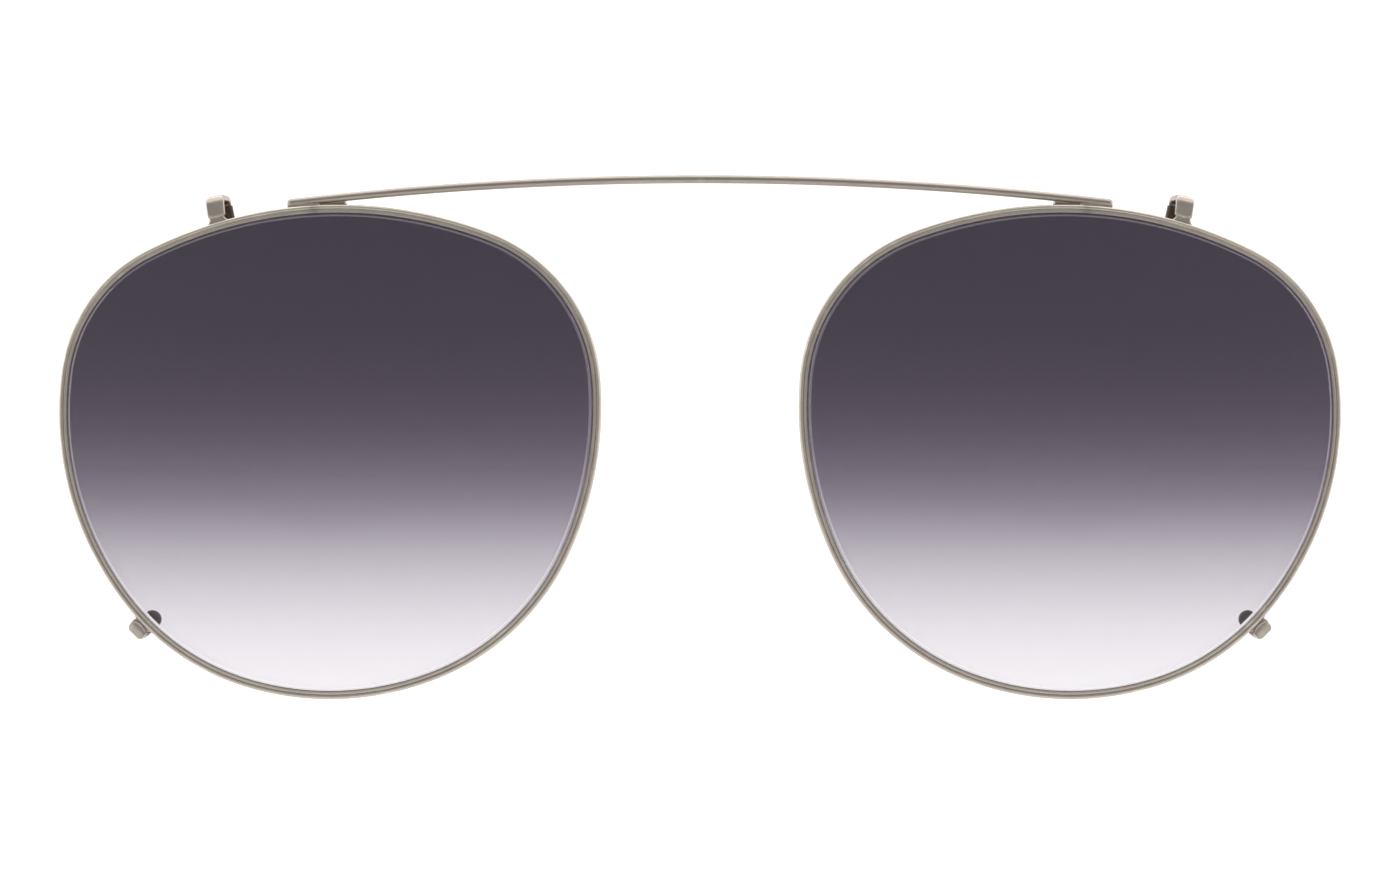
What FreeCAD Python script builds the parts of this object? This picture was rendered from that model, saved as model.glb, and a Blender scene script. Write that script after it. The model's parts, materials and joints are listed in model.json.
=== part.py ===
"""Clip-on sun lenses: two rimmed lenses on one sprung bar, held to a spectacle frame by four claws.

X runs along the bar, Y from the front towards the wearer and Z upwards.  The origin lies midway
between the two lenses, on the line through their middles, at the middle of the rim wire's depth
where the bar is brazed to it.  Left and right are as seen from the front.
"""
import FreeCAD, Part
import math
import os

# ---- Driving dimensions, in millimetres and degrees ------------------------------------------

# Outline of one rim from the front: four corner arcs, joined by four long arcs that are worked out
# from the width and the height.  Each turn is the way the edge faces where a stretch starts.
rim_width = 51.87
rim_height = 47.18
rim_spacing = 18.85
upper_temple_radius = 15.08
lower_temple_radius = 23.07
lower_nose_radius = 23.31
upper_nose_radius = 16.31
turn_top = 69.2
turn_upper_temple = 116.5
turn_temple = 172.9
turn_lower_temple = 219.1
turn_bottom = 253.8
turn_lower_nose = 290.8
turn_nose = 335.4
turn_upper_nose = 364.7

# Rim wire: a round-shouldered main body with a thinner lip beside it and a V groove inside
rim_radial = 0.80
rim_depth = 1.65
rim_shoulder = 0.15
body_radial = 0.44
score_width = 0.09
score_depth = 0.12
lip_step = 0.05
groove_depth = 0.38
groove_mouth = 0.90
seam_turn = 93.3
seam_gap = 0.06

# Lenses: a base 4 curve, with a bevelled edge and a polished facet at the front
base_radius = 132.5
lens_thickness = 1.90
lens_clearance = 0.04
facet_radial = 0.30
facet_axial = 0.16
wrap_angle = 1.5

# Bar: one round spring wire, arched upwards and bowed forwards
bar_diameter = 0.80
bar_arch = 1.97
bar_bow = 1.00
bar_clearance = 0.10
bar_end_round = 0.32

# Closing block: a split barrel behind the seam, drawn together by one screw; the setback is from the
# rim's back to the barrel's middle line, the reaches run from the seam to each end, and the bore floor
# is the metal left at its blind end
block_temple_reach = 2.50
block_nose_reach = 3.00
block_diameter = 1.70
block_setback = 0.725
block_drop = 0.05
block_edge = 0.12
lug_rise = 0.74
screw_diameter = 1.00
screw_clearance = 0.03
screw_head_diameter = 1.28
screw_head_height = 0.45
screw_head_clearance = 0.03
screw_slot_width = 0.22
screw_slot_depth = 0.20
bore_floor = 0.40
screw_end_gap = 0.40

# Claws: bent strips, a shaped plate in front and a plain leg behind; the plate's shape runs back round
# the bend by the plate wrap.  A claw's tilt and shifts run along the rim, towards the nose at the top
claw_thickness = 0.50
claw_depth = 5.50
claw_front = 0.55
claw_bend_radius = 0.90
claw_roof_width = 1.66
claw_leg_width = 1.27
claw_leg_length = 2.85
plate_wrap = 0.54
plate_corner_radius = 0.38
foot_sink = 0.30
upper_claw_turn = 106.2
upper_claw_lean = -4.2
upper_claw_rise = 2.56
upper_plate_width = 1.70
upper_plate_taper = -0.05
upper_plate_tilt = 5.0
upper_plate_shift = -0.13
upper_leg_shift = 0.20
upper_neck_height = 0.50
upper_neck_width = 1.44
upper_foot_width = 2.40
upper_foot_shift = 0.26
lower_claw_turn = 224.3
lower_claw_lean = 0.7
lower_claw_rise = 1.45
lower_plate_width = 1.92
lower_plate_taper = 0.09
lower_plate_tilt = 0.0
lower_plate_shift = 0.0
lower_leg_shift = 0.0
lower_neck_height = 0.22
lower_neck_width = 1.76
lower_foot_width = 2.36
lower_foot_shift = 0.0

# Claw sleeves: soft socks over the rear legs
sleeve_wall = 0.22
sleeve_fit = 0.02
sleeve_edge_round = 0.16

# Brazed seats keep this much filler between two pieces
braze_gap = 0.02

# How far a cutting shape runs past what it cuts, how far fused shapes run into each other, and the turn
# between two points of a swept path
overrun = 1.0
fuse_overlap = 0.12
path_step = 5.0

# Lengths shorter than this count as nothing
tiny = 1e-6


# ---- Outline of the rim ----------------------------------------------------------------------

def cosine(degrees):
    """Cosine of an angle in degrees."""
    return math.cos(math.radians(degrees))


def sine(degrees):
    """Sine of an angle in degrees."""
    return math.sin(math.radians(degrees))


# How far the middle of a rounded corner stays inside the square corner, as a share of its radius
CORNER_CUT = 1.0 - cosine(45.0)


def stretches():
    """The outline's eight arcs as (start turn, end turn, radius or None where it is worked out)."""
    starts = [
        (turn_top, None),
        (turn_upper_temple, upper_temple_radius),
        (turn_temple, None),
        (turn_lower_temple, lower_temple_radius),
        (turn_bottom, None),
        (turn_lower_nose, lower_nose_radius),
        (turn_nose, None),
        (turn_upper_nose, upper_nose_radius),
    ]
    ends = [turn for turn, radius in starts[1:]] + [turn_top + 360.0]
    return [(turn, end, radius) for (turn, radius), end in zip(starts, ends)]


def arc_run(start, end, low, high):
    """X and Z run of the part of a unit arc that lies between two turns."""
    run_x = 0.0
    run_z = 0.0
    for full_turn in (-360.0, 0.0, 360.0):
        first = max(start + full_turn, low)
        last = min(end + full_turn, high)
        if last > first:
            run_x += cosine(last) - cosine(first)
            run_z += sine(last) - sine(first)
    return run_x, run_z


def solve_radii():
    """Radii of all eight arcs: the four long ones make the outline close at its width and height."""
    halves = [(0.0, 180.0, 0, -rim_width), (180.0, 360.0, 0, rim_width),
              (90.0, 270.0, 1, -rim_height), (270.0, 450.0, 1, rim_height)]
    arcs = stretches()
    unknown = [index for index, arc in enumerate(arcs) if arc[2] is None]
    rows = []
    wanted = []
    for low, high, axis, run in halves:
        runs = [arc_run(start, end, low, high)[axis] for start, end, radius in arcs]
        known = sum(runs[index] * arc[2] for index, arc in enumerate(arcs) if arc[2] is not None)
        rows += [runs[index] for index in unknown]
        wanted += [run - known, 0.0, 0.0, 0.0]
    solution = FreeCAD.Matrix(*rows).inverse() * FreeCAD.Matrix(*wanted)
    solved = [solution.A11, solution.A21, solution.A31, solution.A41]
    return [solved.pop(0) if radius is None else radius for start, end, radius in arcs]


def outline_arcs():
    """The eight arcs as (centre x, centre z, radius, start turn, end turn), centred on the lens."""
    arcs = []
    x = 0.0
    z = 0.0
    for (start, end, given), radius in zip(stretches(), solve_radii()):
        centre_x = x - radius * cosine(start)
        centre_z = z - radius * sine(start)
        arcs.append((centre_x, centre_z, radius, start, end))
        x = centre_x + radius * cosine(end)
        z = centre_z + radius * sine(end)
    nose_x = max(cx + radius for cx, cz, radius, start, end in arcs if start <= 360.0 <= end)
    top_z = max(cz + radius for cx, cz, radius, start, end in arcs if start <= 90.0 <= end)
    shift_x = rim_width / 2 - nose_x
    shift_z = rim_height / 2 - top_z
    return [(cx + shift_x, cz + shift_z, radius, start, end) for cx, cz, radius, start, end in arcs]


ARCS = outline_arcs()


def outline_point(turn, inset=0.0):
    """X and Z of the outline where it faces the given way, moved in by an inset."""
    while turn < turn_top:
        turn += 360.0
    while turn > turn_top + 360.0:
        turn -= 360.0
    for centre_x, centre_z, radius, start, end in ARCS:
        if start <= turn <= end:
            break
    reach = radius - inset
    return centre_x + reach * cosine(turn), centre_z + reach * sine(turn)


def outline_prism(inset, front, back):
    """A block with the outline's shape, from one depth to another."""
    edges = []
    for centre_x, centre_z, radius, start, end in ARCS:
        points = []
        for turn in (start, (start + end) / 2, end):
            reach = radius - inset
            points.append(FreeCAD.Vector(centre_x + reach * cosine(turn), front,
                                         centre_z + reach * sine(turn)))
        edges.append(Part.Arc(*points).toShape())
    face = Part.Face(Part.Wire(edges))
    return face.extrude(FreeCAD.Vector(0, back - front, 0))


# ---- The lens's curved surface and its place on the bar --------------------------------------

def sag(x, z):
    """How far the base curve falls back from the lens's middle."""
    return base_radius - math.sqrt(base_radius ** 2 - x ** 2 - z ** 2)


def path_point(turn, inset=0.0):
    """A point of the outline on the base curve."""
    x, z = outline_point(turn, inset)
    return FreeCAD.Vector(x, sag(x, z), z)


LENS_X = -(rim_spacing + rim_width) / 2
SEAM = path_point(seam_turn)


def seated(shape):
    """A left-hand shape moved from the lens's own place to its place on the bar."""
    shape.translate(FreeCAD.Vector(LENS_X, -SEAM.y, 0))
    shape.rotate(FreeCAD.Vector(LENS_X + SEAM.x, 0, SEAM.z), FreeCAD.Vector(0, 0, 1), -wrap_angle)
    return shape


def base_shell(thickness):
    """A thick spherical shell on the base curve, wide enough for one lens."""
    centre = FreeCAD.Vector(0, base_radius, 0)
    outside = Part.makeSphere(base_radius + thickness / 2, centre)
    inside = Part.makeSphere(base_radius - thickness / 2, centre)
    return outside.cut(inside)


def swept(section, first_turn, last_turn):
    """A section carried along the outline on the base curve.

    The section is a list of (distance in from the outline, depth) corners.
    """
    steps = int(round((last_turn - first_turn) / path_step))
    turns = [first_turn + (last_turn - first_turn) * step / steps for step in range(steps + 1)]
    closed = last_turn - first_turn >= 360.0
    spine = Part.BSplineCurve()
    if closed:
        spine.interpolate(Points=[path_point(turn) for turn in turns[:-1]], PeriodicFlag=True)
    else:
        spine.interpolate(Points=[path_point(turn) for turn in turns])
    start = path_point(first_turn)
    inward = FreeCAD.Vector(-cosine(first_turn), 0, -sine(first_turn))
    corners = [start + inward * depth_in + FreeCAD.Vector(0, depth, 0) for depth_in, depth in section]
    pipe = Part.BRepOffsetAPI.MakePipeShell(Part.Wire([spine.toShape()]))
    pipe.setBiNormalMode(FreeCAD.Vector(0, 1, 0))
    pipe.add(Part.makePolygon(corners + corners[:1]), False, False)
    pipe.build()
    pipe.makeSolid()
    return pipe.shape()


# ---- Rims and lenses -------------------------------------------------------------------------

def make_rim():
    """The rim wire, open at its seam."""
    half_depth = rim_depth / 2
    score_in = body_radial
    score_out = body_radial + score_width
    shoulder_cut = rim_shoulder * CORNER_CUT
    section = [
        (rim_shoulder, -half_depth),
        (score_in, -half_depth),
        ((score_in + score_out) / 2, -half_depth + score_depth),
        (score_out, -half_depth + lip_step),
        (rim_radial, -half_depth + lip_step),
        (rim_radial, -groove_mouth / 2),
        (rim_radial - groove_depth, 0.0),
        (rim_radial, groove_mouth / 2),
        (rim_radial, half_depth),
        (rim_shoulder, half_depth),
        (shoulder_cut, half_depth - shoulder_cut),
        (0.0, half_depth - rim_shoulder),
        (0.0, -half_depth + rim_shoulder),
        (shoulder_cut, -half_depth + shoulder_cut),
    ]
    gap_turn = math.degrees(seam_gap / 2 / rim_top_radius())
    return swept(section, seam_turn + gap_turn, seam_turn + 360.0 - gap_turn)


def rim_top_radius():
    """Radius of the outline's long top arc, where the seam is."""
    return ARCS[0][2]


def make_lens():
    """One lens: a curved disc with a bevel that sits in the rim's groove."""
    inset = rim_radial + lens_clearance
    front = -lens_thickness
    back = sag(rim_width / 2, rim_height / 2) + lens_thickness
    disc = outline_prism(inset, front, back).common(base_shell(lens_thickness))
    apex = rim_radial - groove_depth + lens_clearance
    slope = groove_mouth / 2 / groove_depth
    root = inset + facet_radial
    bevel = swept([(apex, 0.0), (root, slope * (root - apex)), (root, -slope * (root - apex))],
                  turn_top, turn_top + 360.0)
    edge = -lens_thickness / 2
    facet = swept([(inset - overrun, edge + facet_axial * (1 + overrun / facet_radial)),
                   (inset - overrun, edge - overrun),
                   (inset + facet_radial, edge - overrun),
                   (inset + facet_radial, edge)],
                  turn_top, turn_top + 360.0)
    return disc.cut(facet).fuse(bevel).removeSplitter()


# ---- Bar -------------------------------------------------------------------------------------

def seam_place():
    """Where the rims' seams are on the bar: half their distance apart, and the height of the rim."""
    return abs(LENS_X + SEAM.x), SEAM.z


def bar_curve():
    """The bar's middle line: an arc in a plane that leans forward, as (centre, radius, lean)."""
    half_span, rim_top = seam_place()
    rise = math.hypot(bar_arch, bar_bow)
    radius = (half_span ** 2 + rise ** 2) / (2 * rise)
    lean = math.degrees(math.atan2(bar_bow, bar_arch))
    crown_z = rim_top + bar_clearance + bar_diameter / 2 + bar_arch
    centre = FreeCAD.Vector(0, -bar_bow + radius * sine(lean), crown_z - radius * cosine(lean))
    return centre, radius, lean


def bar_point(x):
    """The point of the bar's middle line at a given X."""
    centre, radius, lean = bar_curve()
    reach = math.sqrt(radius ** 2 - x ** 2)
    return centre + FreeCAD.Vector(x, -reach * sine(lean), reach * cosine(lean))


def make_bar(radius, past_end=0.0):
    """The spring wire, from the outer end of one closing block to that of the other."""
    half_length = seam_place()[0] + block_temple_reach + past_end
    points = [bar_point(x) for x in (-half_length, 0.0, half_length)]
    arc = Part.Arc(*points)
    start_way = arc.tangent(arc.FirstParameter)[0]
    circle = Part.Wire([Part.makeCircle(radius, points[0], start_way)])
    return Part.Wire([arc.toShape()]).makePipeShell([circle], True, True)


def make_round_ended_bar():
    """The spring wire with its end edges rounded."""
    bar = make_bar(bar_diameter / 2)
    ends = [edge for edge in bar.Edges if edge.Closed and len(edge.Vertexes) == 1
            and abs(edge.BoundBox.XLength) < bar_diameter / 2]
    return bar.makeFillet(bar_end_round, ends)


# ---- Closing block ---------------------------------------------------------------------------

def block_frame():
    """Placement at the rim's seam: X along the rim towards the nose, Z out of the rim."""
    x, z = outline_point(seam_turn)
    along = FreeCAD.Vector(sine(seam_turn), 0, -cosine(seam_turn))
    out = FreeCAD.Vector(cosine(seam_turn), 0, sine(seam_turn))
    return FreeCAD.Placement(FreeCAD.Matrix(along.x, 0, out.x, x, 0, 1, 0, SEAM.y,
                                            along.z, 0, out.z, z, 0, 0, 0, 1))


def barrel_depth():
    """How far the barrel's middle line lies behind the middle of the rim wire."""
    return rim_depth / 2 + block_setback


def rod(radius, first, last):
    """A cylinder on the screw's axis, between two distances from the seam."""
    base = FreeCAD.Vector(first, barrel_depth(), -block_drop)
    return Part.makeCylinder(radius, last - first, base, FreeCAD.Vector(1, 0, 0))


def barrel(first, last, square_end):
    """One half of the barrel, with its outside edge broken at the end away from the seam."""
    shape = rod(block_diameter / 2, first, last)
    edges = [edge for edge in shape.Edges
             if edge.BoundBox.XLength < tiny and abs(edge.CenterOfMass.x - square_end) < tiny]
    return shape.makeChamfer(block_edge, edges)


def without_rim(shape):
    """A block piece on the lens, cut back to a brazed seat on the rim wire."""
    seat = outline_prism(-braze_gap, SEAM.y - rim_depth * 2, SEAM.y + rim_depth / 2 + braze_gap)
    return shape.cut(seat)


def make_outer_block():
    """The temple-side half: brazed to the rim and to the bar, and tapped for the screw."""
    first = -block_temple_reach
    last = -seam_gap / 2
    shape = barrel(first, last, first)
    lug = Part.makeBox(last - first, barrel_depth(), lug_rise + block_drop,
                       FreeCAD.Vector(first, 0, -block_drop))
    shape = shape.fuse(lug)
    bore_end = first + bore_floor
    shape = shape.cut(rod(screw_diameter / 2 + screw_clearance, bore_end, overrun))
    shape.Placement = block_frame()
    shape = seated(without_rim(shape))
    return shape.cut(make_bar(bar_diameter / 2 + braze_gap, overrun))


def make_inner_block():
    """The nose-side half: brazed to the rim only, with a seat for the screw's head."""
    first = seam_gap / 2
    last = block_nose_reach
    shape = barrel(first, last, last)
    shape = shape.cut(rod(screw_diameter / 2 + screw_clearance, 0, last + overrun))
    head_seat = last - screw_head_height - screw_head_clearance
    shape = shape.cut(rod(screw_head_diameter / 2 + screw_head_clearance, head_seat, last + overrun))
    shape.Placement = block_frame()
    return seated(without_rim(shape))


def make_screw():
    """The slotted screw that closes the rim."""
    head_end = block_nose_reach
    head_start = head_end - screw_head_height
    tip = -block_temple_reach + bore_floor + screw_end_gap
    shape = rod(screw_diameter / 2, tip, head_start + fuse_overlap)
    shape = shape.fuse(rod(screw_head_diameter / 2, head_start, head_end)).removeSplitter()
    slot_reach = screw_head_diameter / 2 + overrun
    slot = Part.makeBox(overrun, 2 * slot_reach, screw_slot_width,
                        FreeCAD.Vector(head_end - screw_slot_depth, barrel_depth() - slot_reach,
                                       -block_drop - screw_slot_width / 2))
    shape = shape.cut(slot)
    shape.Placement = block_frame()
    return seated(shape)


# ---- Claws and their sleeves -----------------------------------------------------------------

class ClawSizes:
    """What differs between an upper and a lower claw."""

    def __init__(self, turn, lean, rise, plate, shifts, neck, foot):
        self.turn = turn
        self.lean = lean
        self.rise = rise
        self.plate_width, self.taper = plate
        self.plate_tilt, self.plate_shift, self.leg_shift = shifts
        self.neck_height, self.neck_width = neck
        self.foot_width, self.foot_shift = foot

    def shifted(self, across, out):
        """A point of the plate, moved along the rim by the plate's tilt and shift."""
        return across + self.plate_shift + out * math.tan(math.radians(self.plate_tilt)), out

    def placement(self):
        """Placement at the rim: X across the claw, Y backwards and Z out of the lens."""
        foot = path_point(self.turn)
        way = self.turn + self.lean
        return FreeCAD.Placement(FreeCAD.Matrix(sine(way), 0, cosine(way), foot.x,
                                                0, 1, 0, foot.y,
                                                -cosine(way), 0, sine(way), foot.z,
                                                0, 0, 0, 1))


UPPER_CLAW = ClawSizes(upper_claw_turn, upper_claw_lean, upper_claw_rise,
                       (upper_plate_width, upper_plate_taper),
                       (upper_plate_tilt, upper_plate_shift, upper_leg_shift),
                       (upper_neck_height, upper_neck_width),
                       (upper_foot_width, upper_foot_shift))
LOWER_CLAW = ClawSizes(lower_claw_turn, lower_claw_lean, lower_claw_rise,
                       (lower_plate_width, lower_plate_taper),
                       (lower_plate_tilt, lower_plate_shift, lower_leg_shift),
                       (lower_neck_height, lower_neck_width),
                       (lower_foot_width, lower_foot_shift))
CLAW_BACK = claw_depth - claw_front


def prism(points, front, back):
    """A block whose outline runs through points of (across, out); a 3-point item is an arc."""
    edges = []
    for item in points:
        corners = [FreeCAD.Vector(across, front, out) for across, out in item]
        maker = Part.LineSegment if len(corners) == 2 else Part.Arc
        edges.append(maker(*corners).toShape())
    return Part.Face(Part.Wire(edges)).extrude(FreeCAD.Vector(0, back - front, 0))


def bent_strip(claw):
    """The strip as bent: up the front, over the top and down the back, wider than the claw."""
    front = -claw_front
    back = CLAW_BACK
    top = claw.rise
    outer = claw_bend_radius
    inner = claw_bend_radius - claw_thickness
    tip = leg_end(claw)
    half = cosine(45.0)
    near = front + outer
    far = back - outer
    bend = top - outer
    lines = [
        [(front, -foot_sink), (front, bend)],
        [(front, bend), (near - outer * half, bend + outer * half), (near, top)],
        [(near, top), (far, top)],
        [(far, top), (far + outer * half, bend + outer * half), (back, bend)],
        [(back, bend), (back, tip)],
        [(back, tip), (back - claw_thickness, tip)],
        [(back - claw_thickness, tip), (back - claw_thickness, bend)],
        [(back - claw_thickness, bend), (far + inner * half, bend + inner * half),
         (far, top - claw_thickness)],
        [(far, top - claw_thickness), (near, top - claw_thickness)],
        [(near, top - claw_thickness), (near - inner * half, bend + inner * half),
         (front + claw_thickness, bend)],
        [(front + claw_thickness, bend), (front + claw_thickness, -foot_sink)],
        [(front + claw_thickness, -foot_sink), (front, -foot_sink)],
    ]
    edges = []
    for item in lines:
        corners = [FreeCAD.Vector(-claw.foot_width, depth, out) for depth, out in item]
        maker = Part.LineSegment if len(corners) == 2 else Part.Arc
        edges.append(maker(*corners).toShape())
    return Part.Face(Part.Wire(edges)).extrude(FreeCAD.Vector(2 * claw.foot_width, 0, 0))


def leg_end(claw):
    """How far out of the rim the metal of the rear leg ends; below zero is inside the rim."""
    return claw.rise - claw_leg_length + sleeve_wall + sleeve_fit


def plate_side(claw, side):
    """One side of the plate's outline, from its top to its base; the side is 1 or -1."""
    corner = plate_corner_radius
    cut = corner * CORNER_CUT
    half = claw.plate_width / 2
    tip_half = half - claw.taper
    neck = claw.neck_width / 2
    foot = claw.foot_width / 2 + side * claw.foot_shift
    flare = (foot - neck) * CORNER_CUT
    rise = claw.rise
    step = claw.neck_height
    items = [
        [(tip_half - corner, rise), (tip_half - cut, rise - cut), (tip_half, rise - corner)],
        [(tip_half, rise - corner), (half, step + (half - neck))],
        [(half, step + (half - neck)), (neck, step)],
        [(neck, step), (neck + flare, step * CORNER_CUT), (foot, 0.0)],
        [(foot, 0.0), (foot, -foot_sink)],
        [(foot, -foot_sink), (0.0, -foot_sink)],
    ]
    return [[(side * across, out) for across, out in item] for item in items]


def plate_outline(claw):
    """Front view of the plate, its neck and its flared foot."""
    right = plate_side(claw, 1)
    left = [list(reversed(item)) for item in reversed(plate_side(claw, -1))]
    top = [[left[-1][-1], right[0][0]]]
    return [[claw.shifted(across, out) for across, out in item] for item in right + left + top]


def leg_outline(claw, half_width, low, high):
    """Front view of a leg: straight sides and a round end."""
    centre = low + half_width
    left = claw.leg_shift - half_width
    right = claw.leg_shift + half_width
    return [
        [(left, high), (right, high)],
        [(right, high), (right, centre)],
        [(right, centre), (claw.leg_shift, low), (left, centre)],
        [(left, centre), (left, high)],
    ]


def roof_outline(claw):
    """Front view of the strip's wide top, which stops just above the sleeve."""
    left = claw.leg_shift - claw_roof_width / 2
    right = claw.leg_shift + claw_roof_width / 2
    low = claw.rise - claw_bend_radius + sleeve_fit
    high = claw.rise + overrun
    return [
        [(left, low), (right, low)],
        [(right, low), (right, high)],
        [(right, high), (left, high)],
        [(left, high), (left, low)],
    ]


def make_claw(claw):
    """One claw, brazed to the outside of the rim."""
    shoulder = -claw_front + plate_wrap
    plate = prism(plate_outline(claw), -claw_front - overrun, shoulder)
    leg = prism(leg_outline(claw, claw_leg_width / 2, leg_end(claw), claw.rise + overrun),
                shoulder - fuse_overlap, CLAW_BACK + overrun)
    roof = prism(roof_outline(claw), shoulder - fuse_overlap, CLAW_BACK + overrun)
    shape = bent_strip(claw).common(plate.fuse(leg).fuse(roof)).removeSplitter()
    shape.Placement = claw.placement()
    middle = path_point(claw.turn).y
    seat = outline_prism(-braze_gap, middle - rim_depth, middle + rim_depth / 2)
    return seated(shape.cut(seat))


def make_sleeve(claw):
    """One soft sleeve, closed over the end of a rear leg."""
    half_width = claw_leg_width / 2 + sleeve_fit + sleeve_wall
    grown = sleeve_fit + sleeve_wall
    low = claw.rise - claw_leg_length
    high = claw.rise - claw_bend_radius
    front = CLAW_BACK - claw_thickness - grown
    back = CLAW_BACK + grown
    outside = prism(leg_outline(claw, half_width, low, high), front, back)
    rounded = [edge for edge in outside.Edges if edge.BoundBox.YLength < tiny
               and edge.CenterOfMass.z < high - tiny]
    outside = outside.makeFillet(sleeve_edge_round, rounded)
    inside = prism(leg_outline(claw, half_width - sleeve_wall, low + sleeve_wall, high + overrun),
                   front + sleeve_wall, back - sleeve_wall)
    shape = outside.cut(inside)
    shape.Placement = claw.placement()
    return seated(shape)


# ---- Assembly --------------------------------------------------------------------------------

def only_solid(shape):
    """The single solid that a boolean result holds."""
    solids = shape.Solids
    if len(solids) != 1:
        raise ValueError("expected one solid, got %d" % len(solids))
    return solids[0]


def left_pieces():
    """Every piece on the left lens, by name."""
    return {
        "rim": seated(make_rim()),
        "lens": seated(make_lens()),
        "closing_block_outer": make_outer_block(),
        "closing_block_inner": make_inner_block(),
        "closing_screw": make_screw(),
        "claw_upper": make_claw(UPPER_CLAW),
        "claw_lower": make_claw(LOWER_CLAW),
        "claw_sleeve_upper": make_sleeve(UPPER_CLAW),
        "claw_sleeve_lower": make_sleeve(LOWER_CLAW),
    }


def build():
    """Every node of the assembly, by name."""
    nodes = {"bridge_bar": only_solid(make_round_ended_bar())}
    for name, shape in left_pieces().items():
        left = only_solid(shape)
        nodes[name + "_left"] = left
        nodes[name + "_right"] = left.mirror(FreeCAD.Vector(0, 0, 0), FreeCAD.Vector(1, 0, 0))
    return nodes


def main():
    """Write one STEP file for each node."""
    os.makedirs("parts", exist_ok=True)
    for name, shape in build().items():
        shape.exportStep("parts/" + name + ".step")
        print(name, "volume %.3f" % shape.Volume, "valid", shape.isValid())


main()
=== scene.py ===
"""Looks of a clip-on pair of sun lenses: rims, dyed lenses, sprung bar, closing blocks and claws.

Everything is in metres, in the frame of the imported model: X along the bar, Y from the front towards
the wearer, Z upwards.  Left and right are as seen from the front.
"""

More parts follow.
